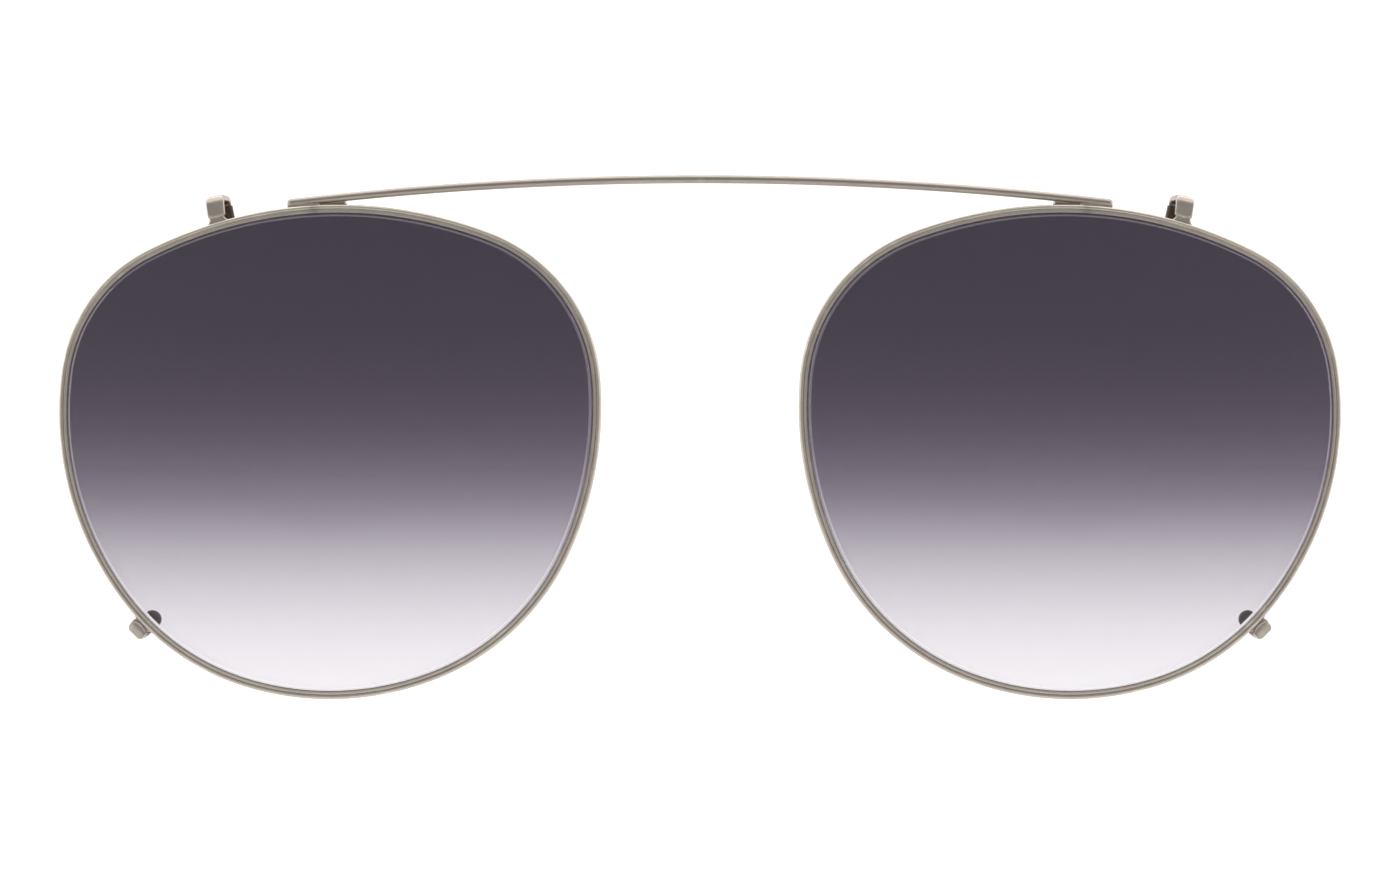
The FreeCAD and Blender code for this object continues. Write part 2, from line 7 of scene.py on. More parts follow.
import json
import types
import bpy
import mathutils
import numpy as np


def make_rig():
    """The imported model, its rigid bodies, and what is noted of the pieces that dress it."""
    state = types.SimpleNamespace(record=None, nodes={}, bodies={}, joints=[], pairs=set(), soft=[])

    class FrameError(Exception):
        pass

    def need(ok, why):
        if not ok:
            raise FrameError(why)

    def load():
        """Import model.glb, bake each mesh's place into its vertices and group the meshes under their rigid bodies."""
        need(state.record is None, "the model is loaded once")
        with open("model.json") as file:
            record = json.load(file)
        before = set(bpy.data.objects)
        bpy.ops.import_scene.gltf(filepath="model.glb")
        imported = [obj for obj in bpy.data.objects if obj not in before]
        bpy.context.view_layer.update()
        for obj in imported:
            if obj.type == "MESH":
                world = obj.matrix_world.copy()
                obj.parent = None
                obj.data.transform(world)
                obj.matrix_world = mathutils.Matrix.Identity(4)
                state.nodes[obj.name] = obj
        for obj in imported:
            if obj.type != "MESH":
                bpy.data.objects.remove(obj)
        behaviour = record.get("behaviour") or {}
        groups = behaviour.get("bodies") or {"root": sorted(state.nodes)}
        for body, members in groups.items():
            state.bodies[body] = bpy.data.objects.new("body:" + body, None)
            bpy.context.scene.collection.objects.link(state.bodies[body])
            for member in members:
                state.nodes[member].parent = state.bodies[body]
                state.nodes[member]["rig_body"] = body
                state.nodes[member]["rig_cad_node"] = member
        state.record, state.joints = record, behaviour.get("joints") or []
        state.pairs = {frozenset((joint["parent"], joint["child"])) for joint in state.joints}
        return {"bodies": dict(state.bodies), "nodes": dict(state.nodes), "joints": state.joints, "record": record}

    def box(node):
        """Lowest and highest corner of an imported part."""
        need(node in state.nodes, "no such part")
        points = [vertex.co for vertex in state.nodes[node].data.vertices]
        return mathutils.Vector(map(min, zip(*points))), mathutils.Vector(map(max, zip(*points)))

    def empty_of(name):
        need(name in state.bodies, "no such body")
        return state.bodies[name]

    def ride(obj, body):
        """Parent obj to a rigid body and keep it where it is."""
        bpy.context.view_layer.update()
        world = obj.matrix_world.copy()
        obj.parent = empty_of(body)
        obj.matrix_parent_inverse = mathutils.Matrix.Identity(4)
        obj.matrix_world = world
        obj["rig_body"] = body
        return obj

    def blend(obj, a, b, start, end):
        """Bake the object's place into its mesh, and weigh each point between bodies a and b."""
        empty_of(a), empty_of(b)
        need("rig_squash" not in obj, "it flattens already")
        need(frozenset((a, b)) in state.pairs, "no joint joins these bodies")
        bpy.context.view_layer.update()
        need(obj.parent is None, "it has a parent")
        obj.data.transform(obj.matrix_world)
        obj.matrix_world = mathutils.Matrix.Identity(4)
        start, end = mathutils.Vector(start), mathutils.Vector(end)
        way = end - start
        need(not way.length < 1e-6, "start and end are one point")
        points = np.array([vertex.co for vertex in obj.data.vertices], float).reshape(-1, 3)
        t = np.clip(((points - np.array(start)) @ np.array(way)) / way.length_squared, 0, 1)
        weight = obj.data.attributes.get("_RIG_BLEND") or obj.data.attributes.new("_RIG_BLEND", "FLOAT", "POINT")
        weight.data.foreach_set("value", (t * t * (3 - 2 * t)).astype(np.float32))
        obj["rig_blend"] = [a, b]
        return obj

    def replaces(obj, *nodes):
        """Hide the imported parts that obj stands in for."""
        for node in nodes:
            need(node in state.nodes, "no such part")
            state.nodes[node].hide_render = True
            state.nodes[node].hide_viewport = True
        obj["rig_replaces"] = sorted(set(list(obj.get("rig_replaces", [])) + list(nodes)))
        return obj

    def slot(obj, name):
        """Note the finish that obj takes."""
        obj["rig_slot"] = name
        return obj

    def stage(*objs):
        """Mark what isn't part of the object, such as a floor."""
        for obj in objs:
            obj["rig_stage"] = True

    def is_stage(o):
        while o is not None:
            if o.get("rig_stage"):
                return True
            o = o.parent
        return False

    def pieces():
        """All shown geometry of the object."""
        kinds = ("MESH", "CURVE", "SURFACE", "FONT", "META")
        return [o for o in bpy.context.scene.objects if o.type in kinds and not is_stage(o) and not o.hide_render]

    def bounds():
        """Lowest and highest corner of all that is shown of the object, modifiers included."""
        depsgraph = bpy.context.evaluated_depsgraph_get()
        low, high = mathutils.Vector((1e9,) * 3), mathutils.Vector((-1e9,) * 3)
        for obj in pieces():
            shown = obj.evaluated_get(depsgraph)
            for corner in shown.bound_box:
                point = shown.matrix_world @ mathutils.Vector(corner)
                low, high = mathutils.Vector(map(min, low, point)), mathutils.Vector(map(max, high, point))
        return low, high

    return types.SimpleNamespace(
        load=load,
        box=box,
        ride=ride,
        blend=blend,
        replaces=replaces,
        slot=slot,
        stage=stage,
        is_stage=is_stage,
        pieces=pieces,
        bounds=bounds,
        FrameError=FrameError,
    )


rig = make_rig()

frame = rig.load()

import json
import logging
import math
from dataclasses import dataclass, field
from enum import Enum
from typing import Callable, Sequence

import bmesh
import bpy
import numpy as np
from mathutils import Matrix, Vector

MM = 0.001
SIZE_FILE = "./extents.json"
log = logging.getLogger("clip_on")


class Side(Enum):
    """Which lens a piece belongs to, as seen from the front."""

    LEFT = "left"
    RIGHT = "right"

    @property
    def body(self) -> str:
        """The moving body that this side's lens belongs to."""
        return f"{self.value}_lens"

    @property
    def mirror(self) -> Matrix:
        """Turns a left-hand shape into one for this side."""
        sign = 1.0 if self is Side.LEFT else -1.0
        return Matrix.Diagonal((sign, 1.0, 1.0, 1.0))


class Corner(Enum):
    """Which corner of the lens a claw stands at."""

    UPPER = "upper"
    LOWER = "lower"


# ---- Mesh building ---------------------------------------------------------------------------

def laid_out(name: str, data: bpy.types.ID) -> bpy.types.Object:
    """An object with this mesh, lamp or camera, linked to the scene."""
    made = bpy.data.objects.new(name, data)
    bpy.context.scene.collection.objects.link(made)
    return made


@dataclass
class Shell:
    """A closed surface of rings, each joined to the next, with what each band is made of."""

    rings: list[np.ndarray]
    bands: list[int] = field(default_factory=list)
    sharp_rings: set[int] = field(default_factory=set)

    def to_bmesh(self) -> bmesh.types.BMesh:
        """Join the rings with four-sided faces and close both ends with a fan.

        Returns:
            The surface, with its normals turned outwards.
        """
        mesh = bmesh.new()
        made = [[mesh.verts.new(point) for point in ring] for ring in self.rings]
        count = len(self.rings[0])
        for level, (low, high) in enumerate(zip(made[:-1], made[1:])):
            for step in range(count):
                after = (step + 1) % count
                face = mesh.faces.new((low[step], low[after], high[after], high[step]))
                face.material_index = self.bands[level] if self.bands else 0
                face.smooth = True
        for ring, band in ((made[0], 0), (made[-1], -1)):
            middle = mesh.verts.new(sum((vert.co for vert in ring), Vector()) / count)
            for step in range(count):
                face = mesh.faces.new((ring[step], ring[(step + 1) % count], middle))
                face.material_index = self.bands[band] if self.bands else 0
                face.smooth = True
        for level in self.sharp_rings:
            ring = made[level]
            for step in range(count):
                edge = mesh.edges.get((ring[step], ring[(step + 1) % count]))
                edge.smooth = False
        bmesh.ops.recalc_face_normals(mesh, faces=mesh.faces)
        return mesh


def superellipse(half_x: float, half_y: float, power: float, count: int) -> np.ndarray:
    """A rounded rectangle about the origin.

    Args:
        half_x: Half its width.
        half_y: Half its height.
        power: 2 gives an ellipse; a larger power gives squarer corners.
        count: Number of points.

    Returns:
        The points, one a row, as x and y.
    """
    angles = np.linspace(0.0, 2 * math.pi, count, endpoint=False) + math.pi / count
    cos = np.cos(angles)
    sin = np.sin(angles)
    x = half_x * np.sign(cos) * np.abs(cos) ** (2 / power)
    y = half_y * np.sign(sin) * np.abs(sin) ** (2 / power)
    return np.stack([x, y], axis=1)


def mesh_object(name: str, shells: Sequence[Shell], place: Matrix) -> bpy.types.Object:
    """One object from closed shells.

    Args:
        name: The object's name.
        shells: The closed surfaces it is made of.
        place: Moves the shells' own space to the model's frame; it may mirror them.

    Returns:
        The object, at the origin, linked to the scene.
    """
    joined = bmesh.new()
    for shell in shells:
        part = shell.to_bmesh()
        scratch = bpy.data.meshes.new("scratch")
        part.to_mesh(scratch)
        part.free()
        joined.from_mesh(scratch)
        bpy.data.meshes.remove(scratch)
    joined.transform(place)
    bmesh.ops.recalc_face_normals(joined, faces=joined.faces)
    data = bpy.data.meshes.new(name)
    joined.to_mesh(data)
    joined.free()
    return laid_out(name, data)


def revolved(profile: Sequence[tuple[float, float]], middle: tuple[float, float],
             count: int = 64) -> Shell:
    """A round solid about a line along X.

    Args:
        profile: Points of (distance along X, radius) from one end to the other.
        middle: Y and Z of the line.
        count: Points around.

    Returns:
        The closed surface.
    """
    angles = np.linspace(0.0, 2 * math.pi, count, endpoint=False)
    rings = []
    for along, radius in profile:
        ring = np.stack([np.full(count, along), middle[0] + radius * np.cos(angles),
                         middle[1] + radius * np.sin(angles)], axis=1)
        rings.append(ring)
    return Shell(rings)


# ---- Nodes -----------------------------------------------------------------------------------

class Graph:
    """Nodes and their links, added one at a time."""

    def __init__(self, tree: bpy.types.NodeTree) -> None:
        """Take up the nodes and links of a tree."""
        self.nodes = tree.nodes
        self.links = tree.links

    def feed(self, socket: bpy.types.NodeSocket, value: object) -> None:
        """Link an input to another node's output, or set it to a plain value.

        Args:
            socket: The input.
            value: A socket, or the value.
        """
        if isinstance(value, bpy.types.NodeSocket):
            self.links.new(value, socket)
        else:
            socket.default_value = value

    def add(self, kind: str, feeds: dict[str, object] | None = None, **settings: object) -> bpy.types.Node:
        """Add a node.

        Args:
            kind: The node's type.
            feeds: What goes into its inputs, by name: another node's output, or a plain value.
            settings: The node's own properties.

        Returns:
            The node.
        """
        node = self.nodes.new(kind)
        for key, value in settings.items():
            setattr(node, key, value)
        for key, value in (feeds or {}).items():
            self.feed(node.inputs[key], value)
        return node


class NodeTree(Graph):
    """A Geometry Nodes tree with named inputs, put together a node at a time."""

    def __init__(self, name: str, sizes: Sequence[str]) -> None:
        """Start a tree.

        Args:
            name: The tree's name.
            sizes: Names of its size inputs, in order.
        """
        self.tree = bpy.data.node_groups.new(name, "GeometryNodeTree")
        super().__init__(self.tree)
        face = self.tree.interface
        face.new_socket("Path", in_out="INPUT", socket_type="NodeSocketGeometry")
        for size in sizes:
            face.new_socket(size, in_out="INPUT", socket_type="NodeSocketFloat")
        face.new_socket("Finish", in_out="INPUT", socket_type="NodeSocketMaterial")
        face.new_socket("Wire", in_out="OUTPUT", socket_type="NodeSocketGeometry")
        self.entry = self.nodes.new("NodeGroupInput")
        self.leave = self.nodes.new("NodeGroupOutput")

    def math(self, operation: str, first: object, second: object) -> bpy.types.NodeSocket:
        """A sum of two values.

        Args:
            operation: Blender's name for it, such as ADD.
            first: A socket or a number.
            second: A socket or a number.

        Returns:
            The result's socket.
        """
        node = self.add("ShaderNodeMath", operation=operation)
        for socket, value in zip(node.inputs, (first, second)):
            self.feed(socket, value)
        return node.outputs[0]

    def vector(self, x: object, y: object) -> bpy.types.NodeSocket:
        """A flat vector from two sockets or numbers."""
        node = self.add("ShaderNodeCombineXYZ")
        for socket, value in zip(node.inputs, (x, y)):
            self.feed(socket, value)
        return node.outputs[0]

    def swept(self, path: bpy.types.NodeSocket, profile: bpy.types.NodeSocket,
              girth: bpy.types.NodeSocket | float = 1.0) -> bpy.types.NodeSocket:
        """Carry a closed profile along the path, as large as girth says, and close its ends."""
        node = self.add("GeometryNodeCurveToMesh",
                        {"Curve": path, "Profile Curve": profile, "Scale": girth, "Fill Caps": True})
        return node.outputs["Mesh"]

    def finish(self, pieces: Sequence[bpy.types.NodeSocket]) -> bpy.types.NodeTree:
        """Join the pieces, realize them, and set their finish.

        Args:
            pieces: The meshes to join.

        Returns:
            The finished tree.
        """
        join = self.add("GeometryNodeJoinGeometry")
        for piece in pieces:
            self.links.new(piece, join.inputs["Geometry"])
        smooth = self.add("GeometryNodeSetShadeSmooth", {"Geometry": join.outputs[0]})
        real = self.add("GeometryNodeRealizeInstances", {"Geometry": smooth.outputs[0]})
        dress = self.add("GeometryNodeSetMaterial",
                         {"Geometry": real.outputs[0], "Material": self.entry.outputs["Finish"]})
        self.links.new(dress.outputs[0], self.leave.inputs["Wire"])
        return self.tree


def rounded_bar_profile(nodes: NodeTree, width: object, height: object, corner: object,
                        across: object, along: object) -> bpy.types.NodeSocket:
    """A rectangle with rounded corners, moved sideways, as a profile for a sweep.

    Args:
        nodes: The tree that it goes in.
        width: Its size across the path.
        height: Its size in depth.
        corner: The radius of its corners.
        across: How far it is moved across the path.
        along: How far it is moved in depth.

    Returns:
        The profile's socket.
    """
    box = nodes.add("GeometryNodeCurvePrimitiveQuadrilateral", {"Width": width, "Height": height})
    fillet = nodes.add("GeometryNodeFilletCurve",
                       {"Curve": box.outputs[0], "Radius": corner, "Count": 6, "Limit Radius": True},
                       mode="POLY")
    move = nodes.add("GeometryNodeTransform",
                     {"Geometry": fillet.outputs[0], "Translation": nodes.vector(across, along)})
    return move.outputs[0]


def rim_tree() -> bpy.types.NodeTree:
    """The rim wire: a round-shouldered body with a lip on each side of the lens groove.

    Returns:
        The tree.
    """
    nodes = NodeTree("rim_wire", ["Body width", "Depth", "Shoulder", "Lip width", "Lip thickness",
                                  "Lip step", "Lip corner", "Sunk"])
    size = nodes.entry.outputs
    line = nodes.add("GeometryNodeMeshToCurve", {"Mesh": size["Path"]})
    upright = nodes.add("GeometryNodeSetCurveNormal", {"Curve": line.outputs[0]}, mode="Z_UP")
    path = upright.outputs[0]
    body = rounded_bar_profile(nodes, size["Body width"], size["Depth"], size["Shoulder"],
                               nodes.math("MULTIPLY", size["Body width"], -0.5), 0.0)
    wide = nodes.math("ADD", size["Lip width"], size["Sunk"])
    inner_edge = nodes.math("ADD", size["Body width"], size["Lip width"])
    lip_middle = nodes.math("SUBTRACT", nodes.math("MULTIPLY", wide, 0.5), inner_edge)
    reach = nodes.math("MULTIPLY", nodes.math("SUBTRACT", size["Depth"], size["Lip thickness"]), 0.5)
    height = nodes.math("SUBTRACT", reach, size["Lip step"])
    front = rounded_bar_profile(nodes, wide, size["Lip thickness"], size["Lip corner"], lip_middle,
                                height)
    back = rounded_bar_profile(nodes, wide, size["Lip thickness"], size["Lip corner"], lip_middle,
                               nodes.math("MULTIPLY", height, -1.0))
    return nodes.finish([nodes.swept(path, profile) for profile in (body, front, back)])


def wire_tree() -> bpy.types.NodeTree:
    """A round wire along a path, as thick at each point as the path says.

    Returns:
        The tree.
    """
    nodes = NodeTree("round_wire", ["Wire radius"])
    line = nodes.add("GeometryNodeMeshToCurve", {"Mesh": nodes.entry.outputs["Path"]})
    girth = nodes.add("GeometryNodeInputNamedAttribute", {"Name": "girth"}, data_type="FLOAT")
    circle = nodes.add("GeometryNodeCurvePrimitiveCircle",
                       {"Resolution": 40, "Radius": nodes.entry.outputs["Wire radius"]})
    return nodes.finish([nodes.swept(line.outputs[0], circle.outputs[0], girth.outputs["Attribute"])])


def path_object(name: str, points: np.ndarray, girth: np.ndarray | None = None) -> bpy.types.Object:
    """An open chain of edges for a tree to follow.

    Args:
        name: The object's name.
        points: Its points, one a row.
        girth: How thick the wire is at each point, as a share, or nothing.

    Returns:
        The object, linked to the scene.
    """
    data = bpy.data.meshes.new(name)
    data.from_pydata([tuple(point) for point in points],
                     [(step, step + 1) for step in range(len(points) - 1)], [])
    if girth is not None:
        attribute = data.attributes.new("girth", "FLOAT", "POINT")
        attribute.data.foreach_set("value", np.asarray(girth, dtype=np.float32))
    return laid_out(name, data)


def grown(path: bpy.types.Object, tree: bpy.types.NodeTree, sizes: dict[str, float],
          finish: bpy.types.Material, place: Matrix) -> bpy.types.Object:
    """Run a tree on a path and keep its result as a plain mesh.

    Args:
        path: The path; it becomes the finished piece.
        tree: The tree to run.
        sizes: The tree's sizes, by name.
        finish: The material that the tree sets.
        place: Moves the result to the model's frame; it may mirror it.

    Returns:
        The piece, at the origin, with no modifier.
    """
    modifier = path.modifiers.new(tree.name, "NODES")
    modifier.node_group = tree
    for item in tree.interface.items_tree:
        if item.item_type != "SOCKET" or item.in_out != "INPUT":
            continue
        if item.name in sizes:
            modifier[item.identifier] = sizes[item.name]
        elif item.socket_type == "NodeSocketMaterial":
            modifier[item.identifier] = finish
    graph = bpy.context.evaluated_depsgraph_get()
    mesh = bpy.data.meshes.new_from_object(path.evaluated_get(graph), depsgraph=graph)
    path.modifiers.clear()
    work = bmesh.new()
    work.from_mesh(mesh)
    bmesh.ops.remove_doubles(work, verts=work.verts, dist=1e-8)
    work.transform(place)
    bmesh.ops.recalc_face_normals(work, faces=work.faces)
    for edge in work.edges:
        if len(edge.link_faces) == 2 and edge.calc_face_angle() > math.radians(50.0):
            edge.smooth = False
    work.to_mesh(mesh)
    work.free()
    mesh.name = path.name
    path.data = mesh
    return path


# ---- Shape of one eye ------------------------------------------------------------------------

@dataclass(frozen=True)
class Outline:
    """The edge of one rim from the front: eight arcs, the four long ones set by width and height."""

    width: float = 51.87
    height: float = 47.18
    base_radius: float = 132.5
    wrap: float = 1.5
    starts: tuple[float, ...] = (69.2, 116.5, 172.9, 219.1, 253.8, 290.8, 335.4, 364.7)
    corner_radii: tuple[float, ...] = (15.08, 23.07, 23.31, 16.31)

    @property
    def spans(self) -> list[tuple[float, float]]:
        """Each arc's first and last turn."""
        ends = self.starts[1:] + (self.starts[0] + 360.0,)
        return list(zip(self.starts, ends))

    def radii(self) -> np.ndarray:
        """Radii of the eight arcs.

        Returns:
            The radii, in the order of the arcs; the long arcs' close the outline at its size.
        """
        halves = ((0.0, 180.0, 0, -self.width), (180.0, 360.0, 0, self.width),
                  (90.0, 270.0, 1, -self.height), (270.0, 450.0, 1, self.height))
        rows = []
        wanted = []
        for low, high, axis, run in halves:
            runs = np.array([self._unit_run(start, end, low, high)[axis] for start, end in self.spans])
            rows.append(runs[0::2])
            wanted.append(run - runs[1::2] @ np.array(self.corner_radii))
        radii = np.empty(8)
        radii[0::2] = np.linalg.solve(np.array(rows), np.array(wanted))
        radii[1::2] = self.corner_radii
        return radii

    @staticmethod
    def _unit_run(start: float, end: float, low: float, high: float) -> np.ndarray:
        """Run of the part of a unit arc between two turns.

        Args:
            start: The arc's first turn.
            end: The arc's last turn.
            low: The first turn that counts.
            high: The last turn that counts.

        Returns:
            The run across and up.
        """
        run = np.zeros(2)
        for full_turn in (-360.0, 0.0, 360.0):
            first = math.radians(max(start + full_turn, low))
            last = math.radians(min(end + full_turn, high))
            if last > first:
                run += (math.cos(last) - math.cos(first), math.sin(last) - math.sin(first))
        return run

    def arcs(self) -> list[tuple[float, float, float, float, float]]:
        """Each arc as its middle across and up, its radius, and its first and last turn.

        Returns:
            The arcs, about the middle of the eye.
        """
        made = []
        at = np.zeros(2)
        for (start, end), radius in zip(self.spans, self.radii()):
            middle = at - radius * np.array([math.cos(math.radians(start)), math.sin(math.radians(start))])
            made.append((middle[0], middle[1], radius, start, end))
            at = middle + radius * np.array([math.cos(math.radians(end)), math.sin(math.radians(end))])
        nose = max(x + radius for x, z, radius, start, end in made if start <= 360.0 <= end)
        top = max(z + radius for x, z, radius, start, end in made if start <= 90.0 <= end)
        shift_x = self.width / 2 - nose
        shift_z = self.height / 2 - top
        return [(x + shift_x, z + shift_z, radius, start, end) for x, z, radius, start, end in made]

    def flat(self, turns: Sequence[float], inset: float = 0.0) -> np.ndarray:
        """Points of the edge where it faces the given ways.

        Args:
            turns: The ways it faces, in degrees.
            inset: How far in from the edge.

        Returns:
            The points, as across and up.
        """
        arcs = self.arcs()
        points = []
        for turn in turns:
            around = (turn - self.starts[0]) % 360.0 + self.starts[0]
            for x, z, radius, start, end in arcs:
                if start <= around <= end:
                    break
            way = math.radians(around)
            points.append((x + (radius - inset) * math.cos(way), z + (radius - inset) * math.sin(way)))
        return np.array(points)

    def sag(self, flat: np.ndarray, offset: float = 0.0) -> np.ndarray:
        """Depth of the base curve, or of a curve parallel to it.

        Args:
            flat: Points as across and up.
            offset: How far in front of the base curve.

        Returns:
            The depth at each point.
        """
        return self.base_radius - np.sqrt((self.base_radius + offset) ** 2 - (flat ** 2).sum(axis=1))

    def path(self, turns: Sequence[float], inset: float = 0.0) -> np.ndarray:
        """Points of the edge on the base curve.

        Args:
            turns: The ways the edge faces, in degrees.
            inset: How far in from the edge.

        Returns:
            The points, as X, Y and Z in the eye's own space.
        """
        flat = self.flat(turns, inset)
        return np.stack([flat[:, 0], self.sag(flat), flat[:, 1]], axis=1)

    def place(self, side: Side) -> Matrix:
        """Moves the eye's own space, in millimetres, to the model's frame.

        Args:
            side: Which lens.

        Returns:
            The move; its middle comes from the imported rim's box.
        """
        turned = side.mirror @ Matrix.Rotation(math.radians(-self.wrap), 4, "Z") @ Matrix.Scale(MM, 4)
        edge = [turned @ Vector(point) for point in self.path(np.arange(0.0, 360.0, 1.0))]
        low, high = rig.box(f"rim_{side.value}")
        made_low = Vector([min(point[axis] for point in edge) for axis in range(3)])
        made_high = Vector([max(point[axis] for point in edge) for axis in range(3)])
        return Matrix.Translation((low + high - made_low - made_high) / 2) @ turned

    def frame_at(self, turn: float, lean: float = 0.0) -> Matrix:
        """A space on the edge: X along it, Y backwards and Z out of the eye.

        Args:
            turn: Where on the edge, as the way it faces.
            lean: How far Z leans from that way.

        Returns:
            The move from that space to the eye's own.
        """
        foot = self.path([turn])[0]
        way = math.radians(turn + lean)
        return Matrix(((math.sin(way), 0.0, math.cos(way), foot[0]), (0.0, 1.0, 0.0, foot[1]),
                       (-math.cos(way), 0.0, math.sin(way), foot[2]), (0.0, 0.0, 0.0, 1.0)))


# ---- Finishes --------------------------------------------------------------------------------

class Shading(Graph):
    """A material's nodes, added one at a time around its Principled shader."""

    def __init__(self, name: str) -> None:
        """Start a material.

        Args:
            name: The material's name.
        """
        self.material = bpy.data.materials.new(name)
        self.material.use_nodes = True
        super().__init__(self.material.node_tree)
        self.shader = self.nodes["Principled BSDF"]
        self.where = self.nodes.new("ShaderNodeTexCoord").outputs["Object"]

    def set(self, **values: object) -> None:
        """Set or feed the shader's own sockets, named with _ for a space."""
        for key, value in values.items():
            self.feed(self.shader.inputs[key.replace("_", " ")], value)

    def noise(self, size: float, detail: float = 4.0, stretch: tuple[float, float, float] = (1, 1, 1),
              roughness: float = 0.55) -> bpy.types.NodeSocket:
        """Cloudy variation.

        Args:
            size: How large its patches are, in millimetres.
            detail: How much finer it also goes.
            stretch: How many times longer the patches are along X, Y and Z.
            roughness: How strong the finer part is.

        Returns:
            Its value from 0 to 1.
        """
        scale = [1.0 / (size * MM * times) for times in stretch]
        laid = self.add("ShaderNodeMapping", {"Vector": self.where, "Scale": scale})
        node = self.add("ShaderNodeTexNoise", {"Vector": laid.outputs[0], "Scale": 1.0,
                                               "Detail": detail, "Roughness": roughness})
        return node.outputs["Fac"]

    def ranged(self, value: bpy.types.NodeSocket, low: float, high: float, first: float,
               last: float) -> bpy.types.NodeSocket:
        """Stretch a value to a new range.

        Args:
            value: The value.
            low: Where the old range starts.
            high: Where it ends.
            first: Where the new range starts.
            last: Where it ends.

        Returns:
            The new value.
        """
        node = self.add("ShaderNodeMapRange", {"Value": value, "From Min": low, "From Max": high,
                                               "To Min": first, "To Max": last})
        return node.outputs[0]

    def mixed(self, share: bpy.types.NodeSocket, first: object, second: object) -> bpy.types.NodeSocket:
        """Mix two colours.

        Args:
            share: How much of the second one.
            first: The first colour, or a socket.
            second: The second colour, or a socket.

        Returns:
            The mixed colour.
        """
        node = self.nodes.new("ShaderNodeMix")
        node.data_type = "RGBA"
        self.links.new(share, node.inputs[0])
        for socket, colour in ((node.inputs[6], first), (node.inputs[7], second)):
            self.feed(socket, colour if isinstance(colour, bpy.types.NodeSocket) else (*colour, 1.0))
        return node.outputs[2]

    def bumped(self, layers: Sequence[tuple[bpy.types.NodeSocket, float]]) -> bpy.types.NodeSocket:
        """Raise the surface by one or more patterns.

        Args:
            layers: Each pattern and its height in millimetres.

        Returns:
            The bent normal.
        """
        normal = None
        for height, rise in layers:
            links = {"Height": height, "Distance": rise * MM}
            if normal is not None:
                links["Normal"] = normal
            normal = self.add("ShaderNodeBump", links).outputs[0]
        return normal


@dataclass(frozen=True)
class OldSilver:
    """Nickel silver with a matt antique finish: satin grain, darker hollows and rubbed edges."""

    name: str
    rubbed: tuple[float, float, float] = (0.60, 0.545, 0.475)
    body: tuple[float, float, float] = (0.465, 0.418, 0.368)
    tarnish: tuple[float, float, float] = (0.25, 0.22, 0.193)
    roughness: float = 0.40
    grain: float = 0.0016
    drawn: tuple[float, float, float] = (1.0, 1.0, 1.0)

    def make(self) -> bpy.types.Material:
        """Build its nodes.

        Returns:
            The material.
        """
        shade = Shading(self.name)
        cloud = shade.noise(1.6, 3.0, self.drawn)
        fleck = shade.noise(0.16, 5.0, self.drawn)
        satin = shade.noise(0.035, 3.0, self.drawn)
        edge = shade.add("ShaderNodeNewGeometry").outputs["Pointiness"]
        base = shade.mixed(shade.ranged(cloud, 0.35, 0.75, 0.0, 0.45), self.body, self.rubbed)
        dull = shade.mixed(shade.ranged(fleck, 0.52, 0.78, 0.0, 0.38), base, self.tarnish)
        hollow = shade.mixed(shade.ranged(edge, 0.485, 0.42, 0.0, 0.7), dull, self.tarnish)
        worn = shade.mixed(shade.ranged(edge, 0.515, 0.60, 0.0, 0.8), hollow, self.rubbed)
        rough = shade.ranged(fleck, 0.3, 0.7, self.roughness - 0.05, self.roughness + 0.07)
        normal = shade.bumped([(cloud, self.grain * 3.0), (fleck, self.grain * 1.4), (satin, self.grain)])
        shade.set(Metallic=1.0, Base_Color=worn, Roughness=rough, Normal=normal)
        return shade.material


@dataclass(frozen=True)
class TurnedSteel:
    """Bright screw steel with fine turning rings round a line along X."""

    name: str
    middle: tuple[float, float, float]
    colour: tuple[float, float, float] = (0.55, 0.55, 0.54)
    scratched: tuple[float, float, float] = (0.38, 0.38, 0.38)
    ring: float = 0.05

    def make(self) -> bpy.types.Material:
        """Build its nodes.

        Returns:
            The material.
        """
        shade = Shading(self.name)
        centred = shade.add("ShaderNodeMapping", {"Vector": shade.where,
                                                  "Location": [-at for at in self.middle]})
        rings = shade.add("ShaderNodeTexWave", {"Vector": centred.outputs[0], "Distortion": 1.2,
                                                "Detail": 2.0, "Scale": 0.31 / (self.ring * MM)},
                          wave_type="RINGS", rings_direction="X")
        fleck = shade.noise(0.12)
        colour = shade.mixed(shade.ranged(fleck, 0.45, 0.75, 0.0, 0.6), self.colour, self.scratched)
        normal = shade.bumped([(rings.outputs["Fac"], 0.0012), (fleck, 0.0015)])
        shade.set(Metallic=1.0, Base_Color=colour, Normal=normal,
                  Roughness=shade.ranged(fleck, 0.3, 0.7, 0.22, 0.36))
        return shade.material


@dataclass(frozen=True)
class Braze:
    """Silver braze, as it flowed and set: brighter and rippled."""

    name: str
    bright: tuple[float, float, float] = (0.50, 0.45, 0.395)
    dull: tuple[float, float, float] = (0.38, 0.34, 0.30)

    def make(self) -> bpy.types.Material:
        """Build its nodes.

        Returns:
            The material.
        """
        shade = Shading(self.name)
        ripple = shade.noise(0.30, 3.0)
        fleck = shade.noise(0.06, 4.0)
        colour = shade.mixed(shade.ranged(ripple, 0.35, 0.7, 0.0, 0.8), self.bright, self.dull)
        normal = shade.bumped([(ripple, 0.010), (fleck, 0.003)])
        shade.set(Metallic=1.0, Base_Color=colour, Normal=normal,
                  Roughness=shade.ranged(fleck, 0.3, 0.7, 0.28, 0.42))
        return shade.material


